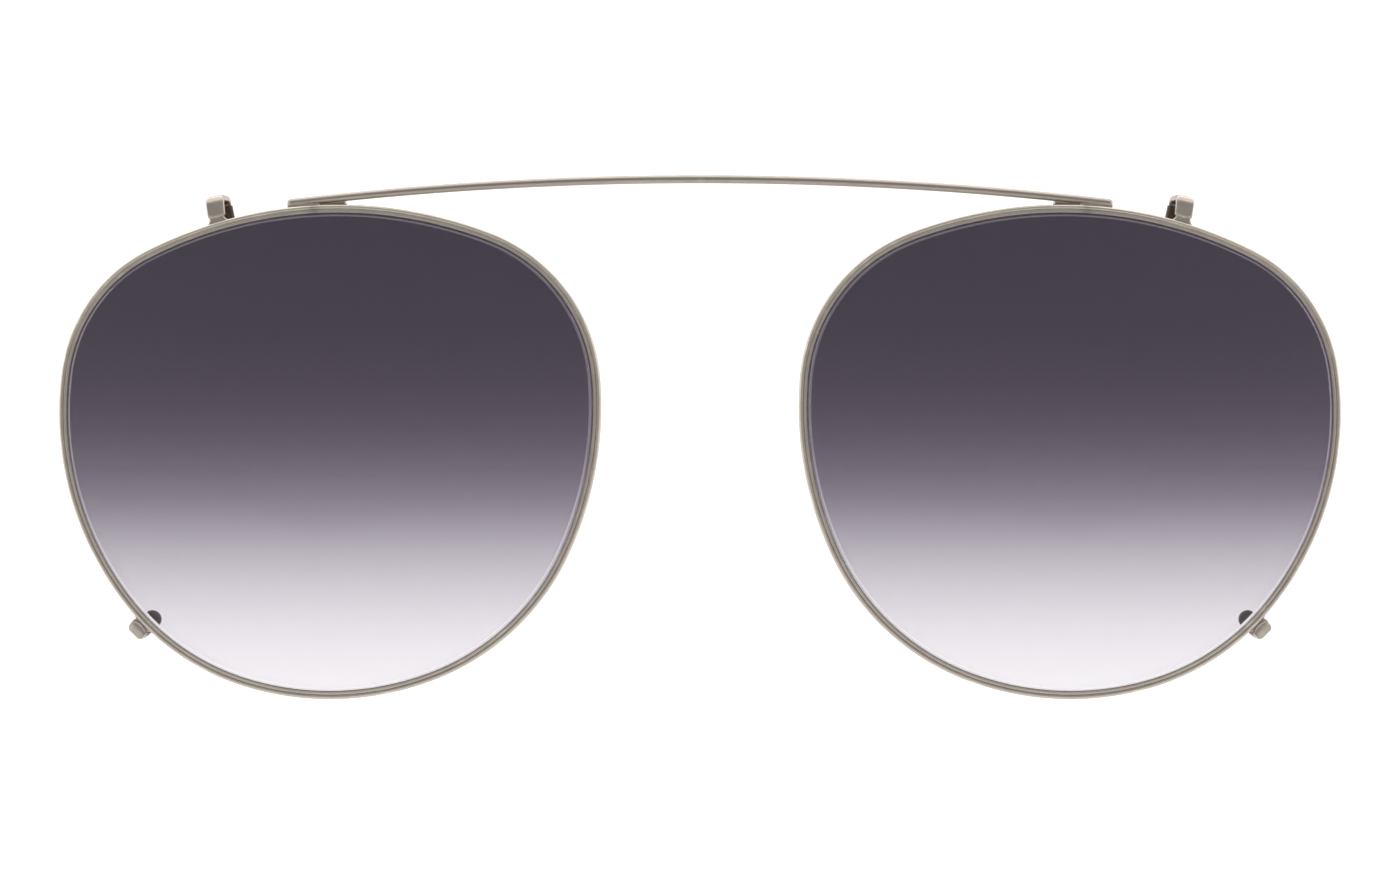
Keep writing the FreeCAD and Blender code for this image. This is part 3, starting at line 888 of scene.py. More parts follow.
@dataclass(frozen=True)
class SoftRubber:
    """Dark brown rubber, slightly mottled, with a dusty bloom."""

    name: str
    brown: tuple[float, float, float] = (0.045, 0.021, 0.013)
    worn: tuple[float, float, float] = (0.095, 0.050, 0.033)

    def make(self) -> bpy.types.Material:
        """Build its nodes.

        Returns:
            The material.
        """
        shade = Shading(self.name)
        cloud = shade.noise(0.9, 3.0)
        pore = shade.noise(0.05, 4.0)
        edge = shade.add("ShaderNodeNewGeometry").outputs["Pointiness"]
        base = shade.mixed(shade.ranged(cloud, 0.35, 0.7, 0.0, 0.6), self.brown, self.worn)
        colour = shade.mixed(shade.ranged(edge, 0.51, 0.58, 0.0, 0.6), base, self.worn)
        normal = shade.bumped([(cloud, 0.010), (pore, 0.004)])
        shade.set(Base_Color=colour, Normal=normal, Roughness=shade.ranged(pore, 0.3, 0.7, 0.45, 0.62),
                  IOR=1.52, Subsurface_Weight=0.05, Subsurface_Scale=0.0004)
        return shade.material


@dataclass(frozen=True)
class DyedLens:
    """Moulded lens plastic dyed from dark at the top to almost clear at the bottom."""

    name: str
    deepest: float = 1.4025
    palest: float = 0.149
    middle: float = -3.23
    fade: float = 5.43
    hue: tuple[float, float, float] = (0.935, 1.0, 0.886)
    low: float = -26.0
    high: float = 26.0
    steps: int = 27
    strength: float = 1.0

    def colour_at(self, height: float) -> tuple[float, float, float]:
        """What share of each colour passes the whole lens at a height in millimetres."""
        density = self.deepest / (1.0 + math.exp(-(height - self.middle) / self.fade)) + self.palest
        return tuple(10.0 ** (-density * share * self.strength) for share in self.hue)

    def make(self) -> bpy.types.Material:
        """Build its nodes.

        Returns:
            The material.
        """
        shade = Shading(self.name)
        haze = shade.noise(6.0, 2.0)
        smear = shade.noise(1.2, 3.0, (3.0, 1.0, 1.0))
        shade.set(Transmission_Weight=1.0, IOR=1.5, Normal=shade.bumped([(haze, 0.0006)]),
                  Roughness=shade.ranged(smear, 0.45, 0.8, 0.0, 0.035))
        apart = shade.add("ShaderNodeSeparateXYZ", {"Vector": shade.where})
        share = shade.ranged(apart.outputs["Z"], self.low * MM, self.high * MM, 0.0, 1.0)
        ramp = shade.add("ShaderNodeValToRGB", {"Fac": share})
        stops = ramp.color_ramp.elements
        while len(stops) < self.steps:
            stops.new(0.5)
        for step, stop in enumerate(stops):
            stop.position = step / (self.steps - 1)
        for step, stop in enumerate(stops):
            height = self.low + (self.high - self.low) * step / (self.steps - 1)
            stop.color = (*self.colour_at(height), 1.0)
        shade.set(Base_Color=ramp.outputs["Color"])
        return shade.material


@dataclass(frozen=True)
class PalePaper:
    """The white sweep that the clip-on stands before, with a faint tooth. Near the clip-on it also glows so that it
    stays evenly white; towards the camera its colour is painted dark grey and its glow fades, painted shade on the
    camera's side.
    """

    name: str = "pale_sweep"
    white: float = 0.56
    tooth_dim: float = 0.98
    far: float = 0.20
    near_at: float = -0.10
    far_at: float = -0.95
    glow: float = 0.39

    def make(self) -> bpy.types.Material:
        """Build its nodes.

        Returns:
            The material.
        """
        shade = Shading(self.name)
        tooth = shade.noise(2.0, 3.0)
        apart = shade.add("ShaderNodeSeparateXYZ", {"Vector": shade.where})
        camera_side_shade = shade.add("ShaderNodeMapRange", {"Value": apart.outputs["Y"], "From Min": self.near_at,
                                                "From Max": self.far_at}, interpolation_type="SMOOTHSTEP")
        pale = shade.mixed(tooth, (self.white,) * 3, (self.white * self.tooth_dim,) * 3)
        # Towards the camera the sweep is painted dark grey and its glow fades: painted shade on the camera's side.
        colour = shade.mixed(camera_side_shade.outputs[0], pale, (self.far,) * 3)
        shade.set(Base_Color=colour, Roughness=0.9, Normal=shade.bumped([(tooth, 0.05)]))
        lit = shade.mixed(camera_side_shade.outputs[0], (1.0, 1.0, 1.02), (0.0, 0.0, 0.0))
        shade.set(Emission_Color=lit, Emission_Strength=self.glow)
        return shade.material


def dress(piece: bpy.types.Object, *finishes: bpy.types.Material) -> None:
    """Give a piece its finishes, in the order that its faces count them."""
    for finish in finishes:
        piece.data.materials.append(finish)


def settle(piece: bpy.types.Object, body: str, node: str, slot: str) -> None:
    """Hand a finished piece over to the model.

    Args:
        piece: The piece.
        body: The body that it moves with.
        node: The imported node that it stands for, or nothing.
        slot: The record's material slot.
    """
    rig.ride(piece, body)
    if node:
        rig.replaces(piece, node)
    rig.slot(piece, slot)
    log.info("%s: %d faces on %s", piece.name, len(piece.data.polygons), body)


# ---- Rim and lens ----------------------------------------------------------------------------

@dataclass(frozen=True)
class Rim:
    """One rim wire, open at its seam, with its lips either side of the lens groove."""

    eye: Outline
    radial: float = 0.80
    depth: float = 1.65
    body_width: float = 0.47
    shoulder: float = 0.225
    lip_step: float = 0.05
    lip_thickness: float = 0.40
    lip_corner: float = 0.09
    lip_sunk: float = 0.05
    seam_turn: float = 93.3
    seam_gap: float = 0.02
    step: float = 1.0

    def build(self, side: Side, tree: bpy.types.NodeTree, finish: bpy.types.Material) -> bpy.types.Object:
        """Grow the wire round the eye.

        Args:
            side: Which lens.
            tree: The rim wire's tree.
            finish: Its finish.

        Returns:
            The rim.
        """
        gap = math.degrees(self.seam_gap / 2 / self.eye.radii()[0])
        count = int(round(360.0 / self.step))
        turns = np.linspace(self.seam_turn + gap, self.seam_turn + 360.0 - gap, count)
        path = self.eye.path(turns)
        laid = np.stack([path[:, 0], path[:, 2], path[:, 1]], axis=1)
        swap = Matrix(((1, 0, 0, 0), (0, 0, 1, 0), (0, 1, 0, 0), (0, 0, 0, 1)))
        sizes = {"Body width": self.body_width, "Depth": self.depth, "Shoulder": self.shoulder,
                 "Lip width": self.radial - self.body_width, "Lip thickness": self.lip_thickness,
                 "Lip step": self.lip_step, "Lip corner": self.lip_corner, "Sunk": self.lip_sunk}
        piece = grown(path_object(f"rim_wire_{side.value}", laid), tree, sizes, finish,
                      self.eye.place(side) @ swap)
        settle(piece, side.body, f"rim_{side.value}", "rim_wire")
        return piece


@dataclass(frozen=True)
class Lens:
    """One lens: two spherical faces, a polished facet in front and a bevel in the rim's groove."""

    eye: Outline
    rim: Rim
    thickness: float = 1.90
    clearance: float = 0.015
    groove_depth: float = 0.38
    groove_mouth: float = 0.90
    facet_radial: float = 0.17
    facet_axial: float = 0.10
    roll_radial: float = 0.15
    roll_axial: float = 0.30
    step: float = 1.5
    rings: int = 14

    def face(self, turns: np.ndarray, inset: float, offset: float) -> list[np.ndarray]:
        """Rings of one spherical face, from near its middle to its edge.

        Args:
            turns: The ways the edge faces.
            inset: How far the face's edge is in from the rim's outside.
            offset: How far in front of the base curve the face is.

        Returns:
            The rings.
        """
        edge = self.eye.flat(turns, inset)
        made = []
        for ring in range(1, self.rings + 1):
            flat = edge * math.sqrt(ring / self.rings)
            made.append(np.stack([flat[:, 0], self.eye.sag(flat, offset), flat[:, 1]], axis=1))
        return made

    def build(self, side: Side, dyed: bpy.types.Material, clear: bpy.types.Material) -> bpy.types.Object:
        """Make the lens.

        Args:
            side: Which lens.
            dyed: The finish of its two faces.
            clear: The finish of its facet and edge.

        Returns:
            The lens.
        """
        turns = np.arange(0.0, 360.0, self.step)
        inset = self.rim.radial + self.clearance
        apex = self.rim.radial - self.groove_depth + self.clearance
        half = self.thickness / 2
        reach = self.groove_mouth / 2
        front = self.face(turns, inset + self.roll_radial + self.facet_radial, half)
        back = self.face(turns, inset, -half)[::-1]
        edge = self.eye.path(turns, inset)
        middle = self.eye.path(turns)
        facet = self.eye.path(turns, inset + self.roll_radial)
        facet[:, 1] = front[-1][:, 1] + self.facet_axial
        roll = edge.copy()
        roll[:, 1] = front[-1][:, 1] + self.roll_axial
        bevel_front = edge.copy()
        bevel_front[:, 1] = middle[:, 1] - reach
        bevel_apex = self.eye.path(turns, apex)
        bevel_apex[:, 1] = middle[:, 1]
        bevel_back = edge.copy()
        bevel_back[:, 1] = middle[:, 1] + reach
        rings = front + [facet, roll, bevel_front, bevel_apex, bevel_back] + back
        bands = [0] * (len(front) - 1) + [1, 0, 1, 1, 1, 1] + [0] * (len(back) - 1)
        first = len(front) - 1
        shell = Shell(rings, bands, set(range(first, first + 7)))
        piece = mesh_object(f"lens_{side.value}_dyed", [shell], self.eye.place(side))
        dress(piece, dyed, clear)
        settle(piece, side.body, f"lens_{side.value}", "tinted_lens")
        return piece


# ---- Spring bar ------------------------------------------------------------------------------

@dataclass(frozen=True)
class SpringBar:
    """The round spring wire, arched upwards and bowed forwards, in two halves that bend."""

    eye: Outline
    rim: Rim
    diameter: float = 0.80
    arch: float = 1.97
    bow: float = 1.00
    temple_reach: float = 2.50
    end_round: float = 0.36
    step: float = 0.35
    bend_end: float = 34.0

    def curve(self) -> Callable[[float], Vector]:
        """The wire's middle line.

        Returns:
            A function from a place across, in millimetres, to the point there, in metres.
        """
        low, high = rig.box("bridge_bar")
        radius = self.diameter / 2 * MM
        crown = Vector((0.0, low.y + radius, high.z - radius))
        half_span = self.seam_across()
        rise = math.hypot(self.arch, self.bow) * MM
        round_radius = (half_span ** 2 + rise ** 2) / (2 * rise)
        lean = math.atan2(self.bow, self.arch)
        down = Vector((0.0, math.sin(lean), -math.cos(lean)))

        def point(across: float) -> Vector:
            """The point of the middle line at a place across."""
            x = across * MM
            fall = round_radius - math.sqrt(round_radius ** 2 - x * x)
            return crown + down * fall + Vector((x, 0.0, 0.0))

        return point

    def seam_across(self) -> float:
        """How far the rims' seams are from the middle, in metres."""
        seam = Vector(self.eye.path([self.rim.seam_turn])[0])
        return abs((self.eye.place(Side.LEFT) @ seam).x)

    def half_length(self) -> float:
        """How far each end is from the middle, in millimetres."""
        return self.seam_across() / MM + self.temple_reach

    def build(self, side: Side, tree: bpy.types.NodeTree, finish: bpy.types.Material) -> bpy.types.Object:
        """Grow one half of the wire.

        Args:
            side: Which half.
            tree: The round wire's tree.
            finish: Its finish.

        Returns:
            The half bar.
        """
        sign = -1.0 if side is Side.LEFT else 1.0
        point = self.curve()
        length = self.half_length()
        plain = np.arange(0.0, length - self.end_round, self.step)
        turned = length - self.end_round * (1.0 - np.sin(np.radians(np.linspace(0.0, 90.0, 9))))
        across = np.concatenate([plain, turned])
        beyond = np.clip((across - (length - self.end_round)) / self.end_round, 0.0, 1.0)
        radius = self.diameter / 2
        girth = (radius - self.end_round * (1.0 - np.sqrt(1.0 - beyond ** 2))) / radius
        points = np.array([point(sign * x) for x in across])
        piece = grown(path_object(f"spring_bar_{side.value}", points, girth), tree,
                      {"Wire radius": radius * MM}, finish, Matrix.Identity(4))
        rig.blend(piece, "bridge", side.body, start=point(0.0), end=point(sign * self.bend_end))
        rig.replaces(piece, "bridge_bar")
        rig.slot(piece, "spring_bar")
        log.info("%s: %d faces bending from bridge to %s", piece.name, len(piece.data.polygons), side.body)
        return piece


# ---- Closing block ---------------------------------------------------------------------------

@dataclass(frozen=True)
class ClosingBlock:
    """The split barrel behind a rim's seam, its screw and the braze that holds the bar."""

    eye: Outline
    rim: Rim
    temple_reach: float = 2.50
    nose_reach: float = 3.00
    gap: float = 0.06
    diameter: float = 1.70
    setback: float = 0.725
    drop: float = 0.05
    edge: float = 0.12
    lug_rise: float = 0.50
    head_diameter: float = 1.28
    head_height: float = 0.45
    shank_diameter: float = 1.00
    play: float = 0.03
    slot_width: float = 0.22
    slot_depth: float = 0.20
    braze_past_seam: float = 0.67

    def place(self, side: Side) -> Matrix:
        """Moves the block's space, X to the nose along the rim and Z out of it, to the model's frame."""
        return self.eye.place(side) @ self.eye.frame_at(self.rim.seam_turn)

    @property
    def middle(self) -> tuple[float, float]:
        """The barrel's middle line, as depth and height in the block's space."""
        return self.rim.depth / 2 + self.setback, -self.drop

    def end_profile(self, radius: float) -> list[tuple[float, float]]:
        """A rounded end edge, as (in from the end, radius)."""
        edge = self.edge
        turns = np.radians(np.linspace(0.0, 90.0, 6))
        return [(edge * (1 - math.sin(turn)), radius - edge * (1 - math.cos(turn))) for turn in turns[::-1]]

    def outer_half(self) -> list[Shell]:
        """The temple half: a barrel with a lug that reaches up behind the bar.

        Returns:
            Its shells.
        """
        start = -self.temple_reach
        stop = -self.gap / 2
        radius = self.diameter / 2
        rounded = [(start + near, around) for near, around in self.end_profile(radius)]
        barrel = rounded + [(stop - 0.04, radius), (stop, radius - 0.04)]
        depth, height = self.middle
        lug = []
        for along, shrink in ((start, 0.10), (start + 0.03, 0.03), (start + 0.10, 0.0),
                              (stop - 0.10, 0.0), (stop - 0.03, 0.03), (stop, 0.08)):
            half_depth = depth / 2 - shrink
            half_rise = (self.lug_rise - height) / 2 - shrink
            ring = superellipse(half_depth, half_rise, 7.0, 48)
            lug.append(np.stack([np.full(48, along), depth / 2 + ring[:, 0],
                                 (self.lug_rise + height) / 2 + ring[:, 1]], axis=1))
        return [revolved(barrel, self.middle), Shell(lug)]

    def inner_half(self) -> list[Shell]:
        """The nose half: a barrel with a seat for the screw's head.

        Returns:
            Its shells.
        """
        start = self.gap / 2
        stop = self.nose_reach
        radius = self.diameter / 2
        seat = self.head_diameter / 2 + self.play
        rounded = [(stop - near, around) for near, around in self.end_profile(radius)[::-1]]
        inside = [(stop, seat + 0.03), (stop - 0.03, seat), (stop - self.head_height - self.play, seat)]
        return [revolved([(start, radius - 0.04), (start + 0.04, radius)] + rounded + inside, self.middle)]

    def screw(self) -> list[Shell]:
        """The screw: its shank, its head and the two lands either side of the slot.

        Returns:
            Its shells.
        """
        stop = self.nose_reach
        start = stop - self.head_height
        radius = self.head_diameter / 2
        floor = stop - self.slot_depth
        shank = self.shank_diameter / 2
        tip = -self.temple_reach + 0.8
        head = [(tip, shank - 0.1), (tip + 0.1, shank), (start, shank),
                (start, radius), (floor, radius)]
        depth, height = self.middle
        shells = [revolved(head, self.middle)]
        for sign in (-1.0, 1.0):
            rings = []
            for along, shrink in ((floor - 0.02, 0.0), (stop - 0.05, 0.0),
                                  (stop - 0.015, 0.015), (stop, 0.05)):
                edge = radius - shrink
                lip = self.slot_width / 2 + shrink * 0.5
                reach = math.asin(lip / edge)
                round_part = np.linspace(reach, math.pi - reach, 33)
                chord_x = np.linspace(-math.cos(reach) * edge, math.cos(reach) * edge, 15)[1:-1]
                y = np.concatenate([edge * np.cos(round_part), chord_x])
                z = np.concatenate([edge * np.sin(round_part), np.full(len(chord_x), lip)])
                rings.append(np.stack([np.full(len(y), along), depth + y, height + sign * z], axis=1))
            shells.append(Shell(rings))
        return shells

    def braze(self, bar: SpringBar, side: Side) -> list[Shell]:
        """The fillet of braze between the bar and the rim on the temple half.

        Args:
            bar: The bar that it holds.
            side: Which lens.

        Returns:
            Its shell.
        """
        point = bar.curve()
        inverse = self.place(side).inverted()
        sign = -1.0 if side is Side.LEFT else 1.0
        rings = []
        first = -self.temple_reach + 0.02
        for along in np.linspace(first, self.braze_past_seam, 26):
            share = (along - first) / (self.braze_past_seam - first)
            swell = math.sqrt(max(1e-3, 1.0 - max(0.0, (share - 0.70) / 0.30) ** 2))
            across = sign * (bar.seam_across() / MM - along)
            line = inverse @ point(across)
            low = -0.12
            top = line.z - 0.10
            middle = (low + top) / 2
            half = max(0.02, (top - low) / 2)
            ring = superellipse(0.37 * swell, half, 5.0, 28)
            rings.append(np.stack([np.full(28, along), 0.02 + ring[:, 0], middle + ring[:, 1]], axis=1))
        return [Shell(rings)]

    def build(self, side: Side, bar: SpringBar, block_shaded_finish: bpy.types.Material,
              screw_finish: bpy.types.Material, braze_finish: bpy.types.Material) -> None:
        """Make the block's pieces.

        Args:
            side: Which lens.
            bar: The bar that it holds.
            block_shaded_finish: The finish of its halves.
            screw_finish: The finish of its screw.
            braze_finish: The finish of its braze.
        """
        place = self.place(side)
        parts = (("closing_block_outer", self.outer_half(), block_shaded_finish, "block_metal"),
                 ("closing_block_inner", self.inner_half(), block_shaded_finish, "block_metal"),
                 ("closing_screw", self.screw(), screw_finish, "screw_steel"))
        for name, shells, finish, slot in parts:
            piece = mesh_object(f"{name}_{side.value}_made", shells, place)
            dress(piece, finish)
            settle(piece, side.body, f"{name}_{side.value}", slot)
        piece = mesh_object(f"bar_braze_{side.value}", self.braze(bar, side), place)
        dress(piece, braze_finish)
        settle(piece, side.body, "", "block_metal")


# ---- Claws -----------------------------------------------------------------------------------

def eased(value: float) -> float:
    """A smooth step from 0 to 1."""
    share = min(1.0, max(0.0, value))
    return share * share * (3.0 - 2.0 * share)


@dataclass(frozen=True)
class Claw:
    """One bent claw: a hollowed pad on a flared foot in front, and a sleeved leg behind."""

    eye: Outline
    corner: Corner
    turn: float
    lean: float
    rise: float
    plate_width: float
    taper: float
    tilt: float
    shift: float
    leg_shift: float
    neck_height: float
    neck_width: float
    foot_width: float
    foot_shift: float
    crease: float
    crease_bow: float
    proud: float = 0.10
    thickness: float = 0.50
    depth: float = 5.50
    front: float = 0.55
    bend_radius: float = 0.90
    roof_width: float = 1.66
    leg_width: float = 1.27
    leg_length: float = 2.85
    corner_radius: float = 0.38
    foot_sink: float = 0.30
    edge_round: float = 0.20
    dish: float = 0.05
    dish_side: float = 0.06
    dish_top: float = 0.16
    dish_foot: float = 0.05
    dish_fade: float = 0.20
    dish_foot_fade: float = 0.16
    crease_fade: float = 0.08
    roof_inset: float = 0.12
    leg_narrowing: float = 0.12
    sleeve_wall: float = 0.22
    sleeve_fit: float = 0.02
    points: int = 48
    fine: float = 0.05

    def place(self, side: Side) -> Matrix:
        """Moves the claw's space to the model's frame."""
        return self.eye.place(side) @ self.eye.frame_at(self.turn, self.lean)

    @property
    def back(self) -> float:
        """Depth of the rear leg's back."""
        return self.depth - self.front

    @property
    def leg_end(self) -> float:
        """How far out of the rim the leg's metal ends."""
        return self.rise - self.leg_length + self.sleeve_wall + self.sleeve_fit

    def plate_half(self, out: float, side: float) -> float:
        """How far the plate's edge is from its middle line.

        Args:
            out: How far out of the rim.
            side: 1 for the edge along the rim, or -1 for the other.

        Returns:
            The distance to that edge.
        """
        neck = self.neck_width / 2
        foot = self.foot_width / 2 + side * self.foot_shift
        plate = self.plate_width / 2
        tip = plate - self.taper
        if out <= 0.0:
            return foot
        if out <= self.neck_height:
            share = 1.0 - out / self.neck_height
            return neck + (foot - neck) * (1.0 - math.sqrt(max(0.0, 1.0 - share ** 2)))
        shoulder = self.neck_height + (plate - neck)
        if out <= shoulder:
            return neck + (plate - neck) * eased((out - self.neck_height) / (shoulder - self.neck_height))
        start = self.rise - self.corner_radius
        edge = plate + (tip - plate) * (out - shoulder) / (start - shoulder)
        if out <= start:
            return edge
        over = min(1.0, (out - start) / self.corner_radius)
        rounded = tip - self.corner_radius * (1.0 - math.sqrt(1.0 - over ** 2))
        return max(self.roof_width / 2 - self.roof_inset, rounded)

    def leg_half(self, out: float) -> float:
        """Half the strip's width behind the roof: it narrows into the leg, which ends in a round tip."""
        leg = self.leg_width / 2
        tip = out - self.leg_end
        if tip < leg:
            return math.sqrt(max(0.0, leg ** 2 - (leg - tip) ** 2))
        above = out - (self.rise - self.bend_radius)
        return leg + (self.roof_width / 2 - leg) * eased(above / self.leg_narrowing)

    def spine(self) -> list[tuple[float, float, float, float, bool]]:
        """The strip's middle line, from the foot over the top to the leg's tip.

        Returns:
            Points of (depth, out, facing depth, facing out, on the plate's side).
        """
        half = self.thickness / 2
        bend = self.rise - self.bend_radius
        reach = self.bend_radius - half
        near = -self.front + self.bend_radius
        far = self.back - self.bend_radius
        rising = int(round((bend + self.foot_sink) / self.fine))
        made = [(-self.front + half, out, -1.0, 0.0, True)
                for out in np.linspace(-self.foot_sink, bend, rising)]
        for turn in np.radians(np.linspace(0.0, 90.0, 25)[1:]):
            made.append((near - reach * math.cos(turn), bend + reach * math.sin(turn),
                         -math.cos(turn), math.sin(turn), True))
        for depth in np.linspace(near, far, 9)[1:-1]:
            made.append((depth, self.rise - half, 0.0, 1.0, False))
        for turn in np.radians(np.linspace(90.0, 0.0, 17)):
            made.append((far + reach * math.cos(turn), bend + reach * math.sin(turn),
                         math.cos(turn), math.sin(turn), False))
        tip = self.leg_end + self.leg_width / 2
        for out in np.linspace(bend, tip, 5)[1:]:
            made.append((self.back - half, out, 1.0, 0.0, False))
        for turn in np.radians(np.linspace(0.0, 85.0, 9)[1:]):
            out = tip - self.leg_width / 2 * math.sin(turn)
            made.append((self.back - half, out, 1.0, 0.0, False))
        return made

    def relief(self, across: float, out: float, left: float, right: float) -> float:
        """How far the plate's face is below its proudest surface.

        Args:
            across: Where across the plate, from its middle line.
            out: How far out of the rim.
            left: The plate's edge on one side.
            right: The plate's edge on the other.

        Returns:
            The depth of the hollow, or of the step down to the foot.
        """
        half = self.plate_width / 2
        crease = self.crease + self.crease_bow * min(1.0, abs(across) / half) ** 2
        from_side = min(right - across, across + left) - self.dish_side
        from_top = self.rise - self.dish_top - out
        from_foot = out - crease - self.dish_foot
        hollow = (self.dish * eased(from_side / self.dish_fade) * eased(from_top / self.dish_fade)
                  * eased(from_foot / self.dish_foot_fade))
        return hollow + self.proud * eased((crease - out) / self.crease_fade + 0.5)

    def section(self, left: float, right: float, out: float, plate: bool) -> np.ndarray:
        """One cross-section of the strip, with rounded edges and its face's relief.

        Args:
            left: How far it reaches to one side of its middle line.
            right: How far it reaches to the other.
            out: How far out of the rim its face is.
            plate: Whether it is part of the plate.

        Returns:
            Points as across and outwards from the middle line.
        """
        half = self.thickness / 2
        edge = min(self.edge_round, (left + right) * 0.3)
        face = np.linspace(right - edge, edge - left, 30)
        flat = np.linspace(edge - left, right - edge, 12)

        def quarter(across: float, up: float, first: float) -> list[tuple[float, float]]:
            """A rounded edge about a point: a quarter turn from the way first."""
            turns = np.radians(np.linspace(first, first + 90.0, 7))
            return [(across + edge * math.cos(turn), up + edge * math.sin(turn)) for turn in turns]

        ring = quarter(right - edge, half - edge, 0.0)[:-1]
        ring += [(across, half) for across in face]
        ring += quarter(edge - left, half - edge, 90.0)[1:]
        ring += quarter(edge - left, edge - half, 180.0)[:-1]
        ring += [(across, -half) for across in flat]
        ring += quarter(right - edge, edge - half, 270.0)[1:]
        made = np.array(ring)
        if plate:
            for point in made:
                if point[1] > 0.0:
                    point[1] -= self.relief(point[0], out, left, right) * eased(point[1] / half)
        return made

    def strip(self) -> Shell:
        """The bent strip.

        Returns:
            Its shell, in the claw's space.
        """
        spine = self.spine()
        near = -self.front + self.bend_radius
        far = self.back - self.bend_radius
        slope = math.tan(math.radians(self.tilt))
        top_shift = self.shift + self.rise * slope
        rings = []
        for depth, out, face_depth, face_out, plate in spine:
            face = out + face_out * self.thickness / 2
            if plate:
                left, right = self.plate_half(face, -1.0), self.plate_half(face, 1.0)
                moved = self.shift + face * slope
            else:
                left = right = max(0.05, self.leg_half(face)) if depth > far else self.roof_width / 2
                moved = top_shift + (self.leg_shift - top_shift) * min(1.0, (depth - near) / (far - near))
            ring = self.section(left, right, face, plate)
            rings.append(np.stack([ring[:, 0] + moved, depth + ring[:, 1] * face_depth,
                                   out + ring[:, 1] * face_out], axis=1))
        return Shell(rings)

    def sleeve(self) -> Shell:
        """The soft sleeve over the leg, with a rolled lip and a round closed end.

        Returns:
            Its shell, in the claw's space.
        """
        grown_by = self.sleeve_fit + self.sleeve_wall
        half_width = self.leg_width / 2 + grown_by
        half_depth = self.thickness / 2 + grown_by
        middle = self.back - self.thickness / 2
        low = self.rise - self.leg_length
        high = self.rise - self.bend_radius
        lip = ((-0.02, -0.12), (0.0, -0.08), (-0.01, -0.03), (-0.05, 0.0), (-0.12, 0.008), (-0.22, 0.0))
        sizes = [(high + down, half_width + swell, half_depth + swell) for down, swell in lip]
        start = low + half_width
        sizes += [(out, half_width, half_depth) for out in np.linspace(high - 0.22, start, 8)[1:]]
        for turn in np.radians(np.linspace(0.0, 88.0, 14)[1:]):
            sizes.append((start - half_width * math.sin(turn), half_width * math.cos(turn),
                          half_depth * math.cos(turn) ** 0.45))
        rings = []
        for out, wide, deep in sizes:
            ring = superellipse(wide, deep, 3.4, self.points)
            rings.append(np.stack([self.leg_shift + ring[:, 0], middle + ring[:, 1],
                                   np.full(self.points, out)], axis=1))
        return Shell(rings)

    def build(self, side: Side, strip_finish: bpy.types.Material, sleeve_finish: bpy.types.Material) -> None:
        """Make the claw and its sleeve.

        Args:
            side: Which lens.
            strip_finish: The strip's finish.
            sleeve_finish: The sleeve's finish.
        """
        place = self.place(side)
        name = f"{self.corner.value}_{side.value}"
        strip = mesh_object(f"claw_strip_{name}", [self.strip()], place)
        dress(strip, strip_finish)
        settle(strip, side.body, f"claw_{name}", "claw_strip")
        sleeve = mesh_object(f"soft_sleeve_{name}", [self.sleeve()], place)
        dress(sleeve, sleeve_finish)
        settle(sleeve, side.body, f"claw_sleeve_{name}", "sleeve_rubber")


# ---- Stage -----------------------------------------------------------------------------------

@dataclass(frozen=True)
class SoftBox:
    """One large soft lamp."""

    name: str
    at: tuple[float, float, float]
    size: tuple[float, float]
    watts: float
    target: tuple[float, float, float] = (0.0, 0.1, 0.0)
    warmth: tuple[float, float, float] = (1.0, 0.985, 0.96)

    def light(self) -> None:
        """Hang the lamp, turned to its target."""
        data = bpy.data.lights.new(self.name, "AREA")
        data.shape = "RECTANGLE"
        data.size, data.size_y = self.size
        data.energy = self.watts
        data.color = self.warmth
        lamp = laid_out(self.name, data)
        lamp.location = self.at
        lamp.rotation_euler = (Vector(self.target) - Vector(self.at)).to_track_quat("-Z", "Y").to_euler()


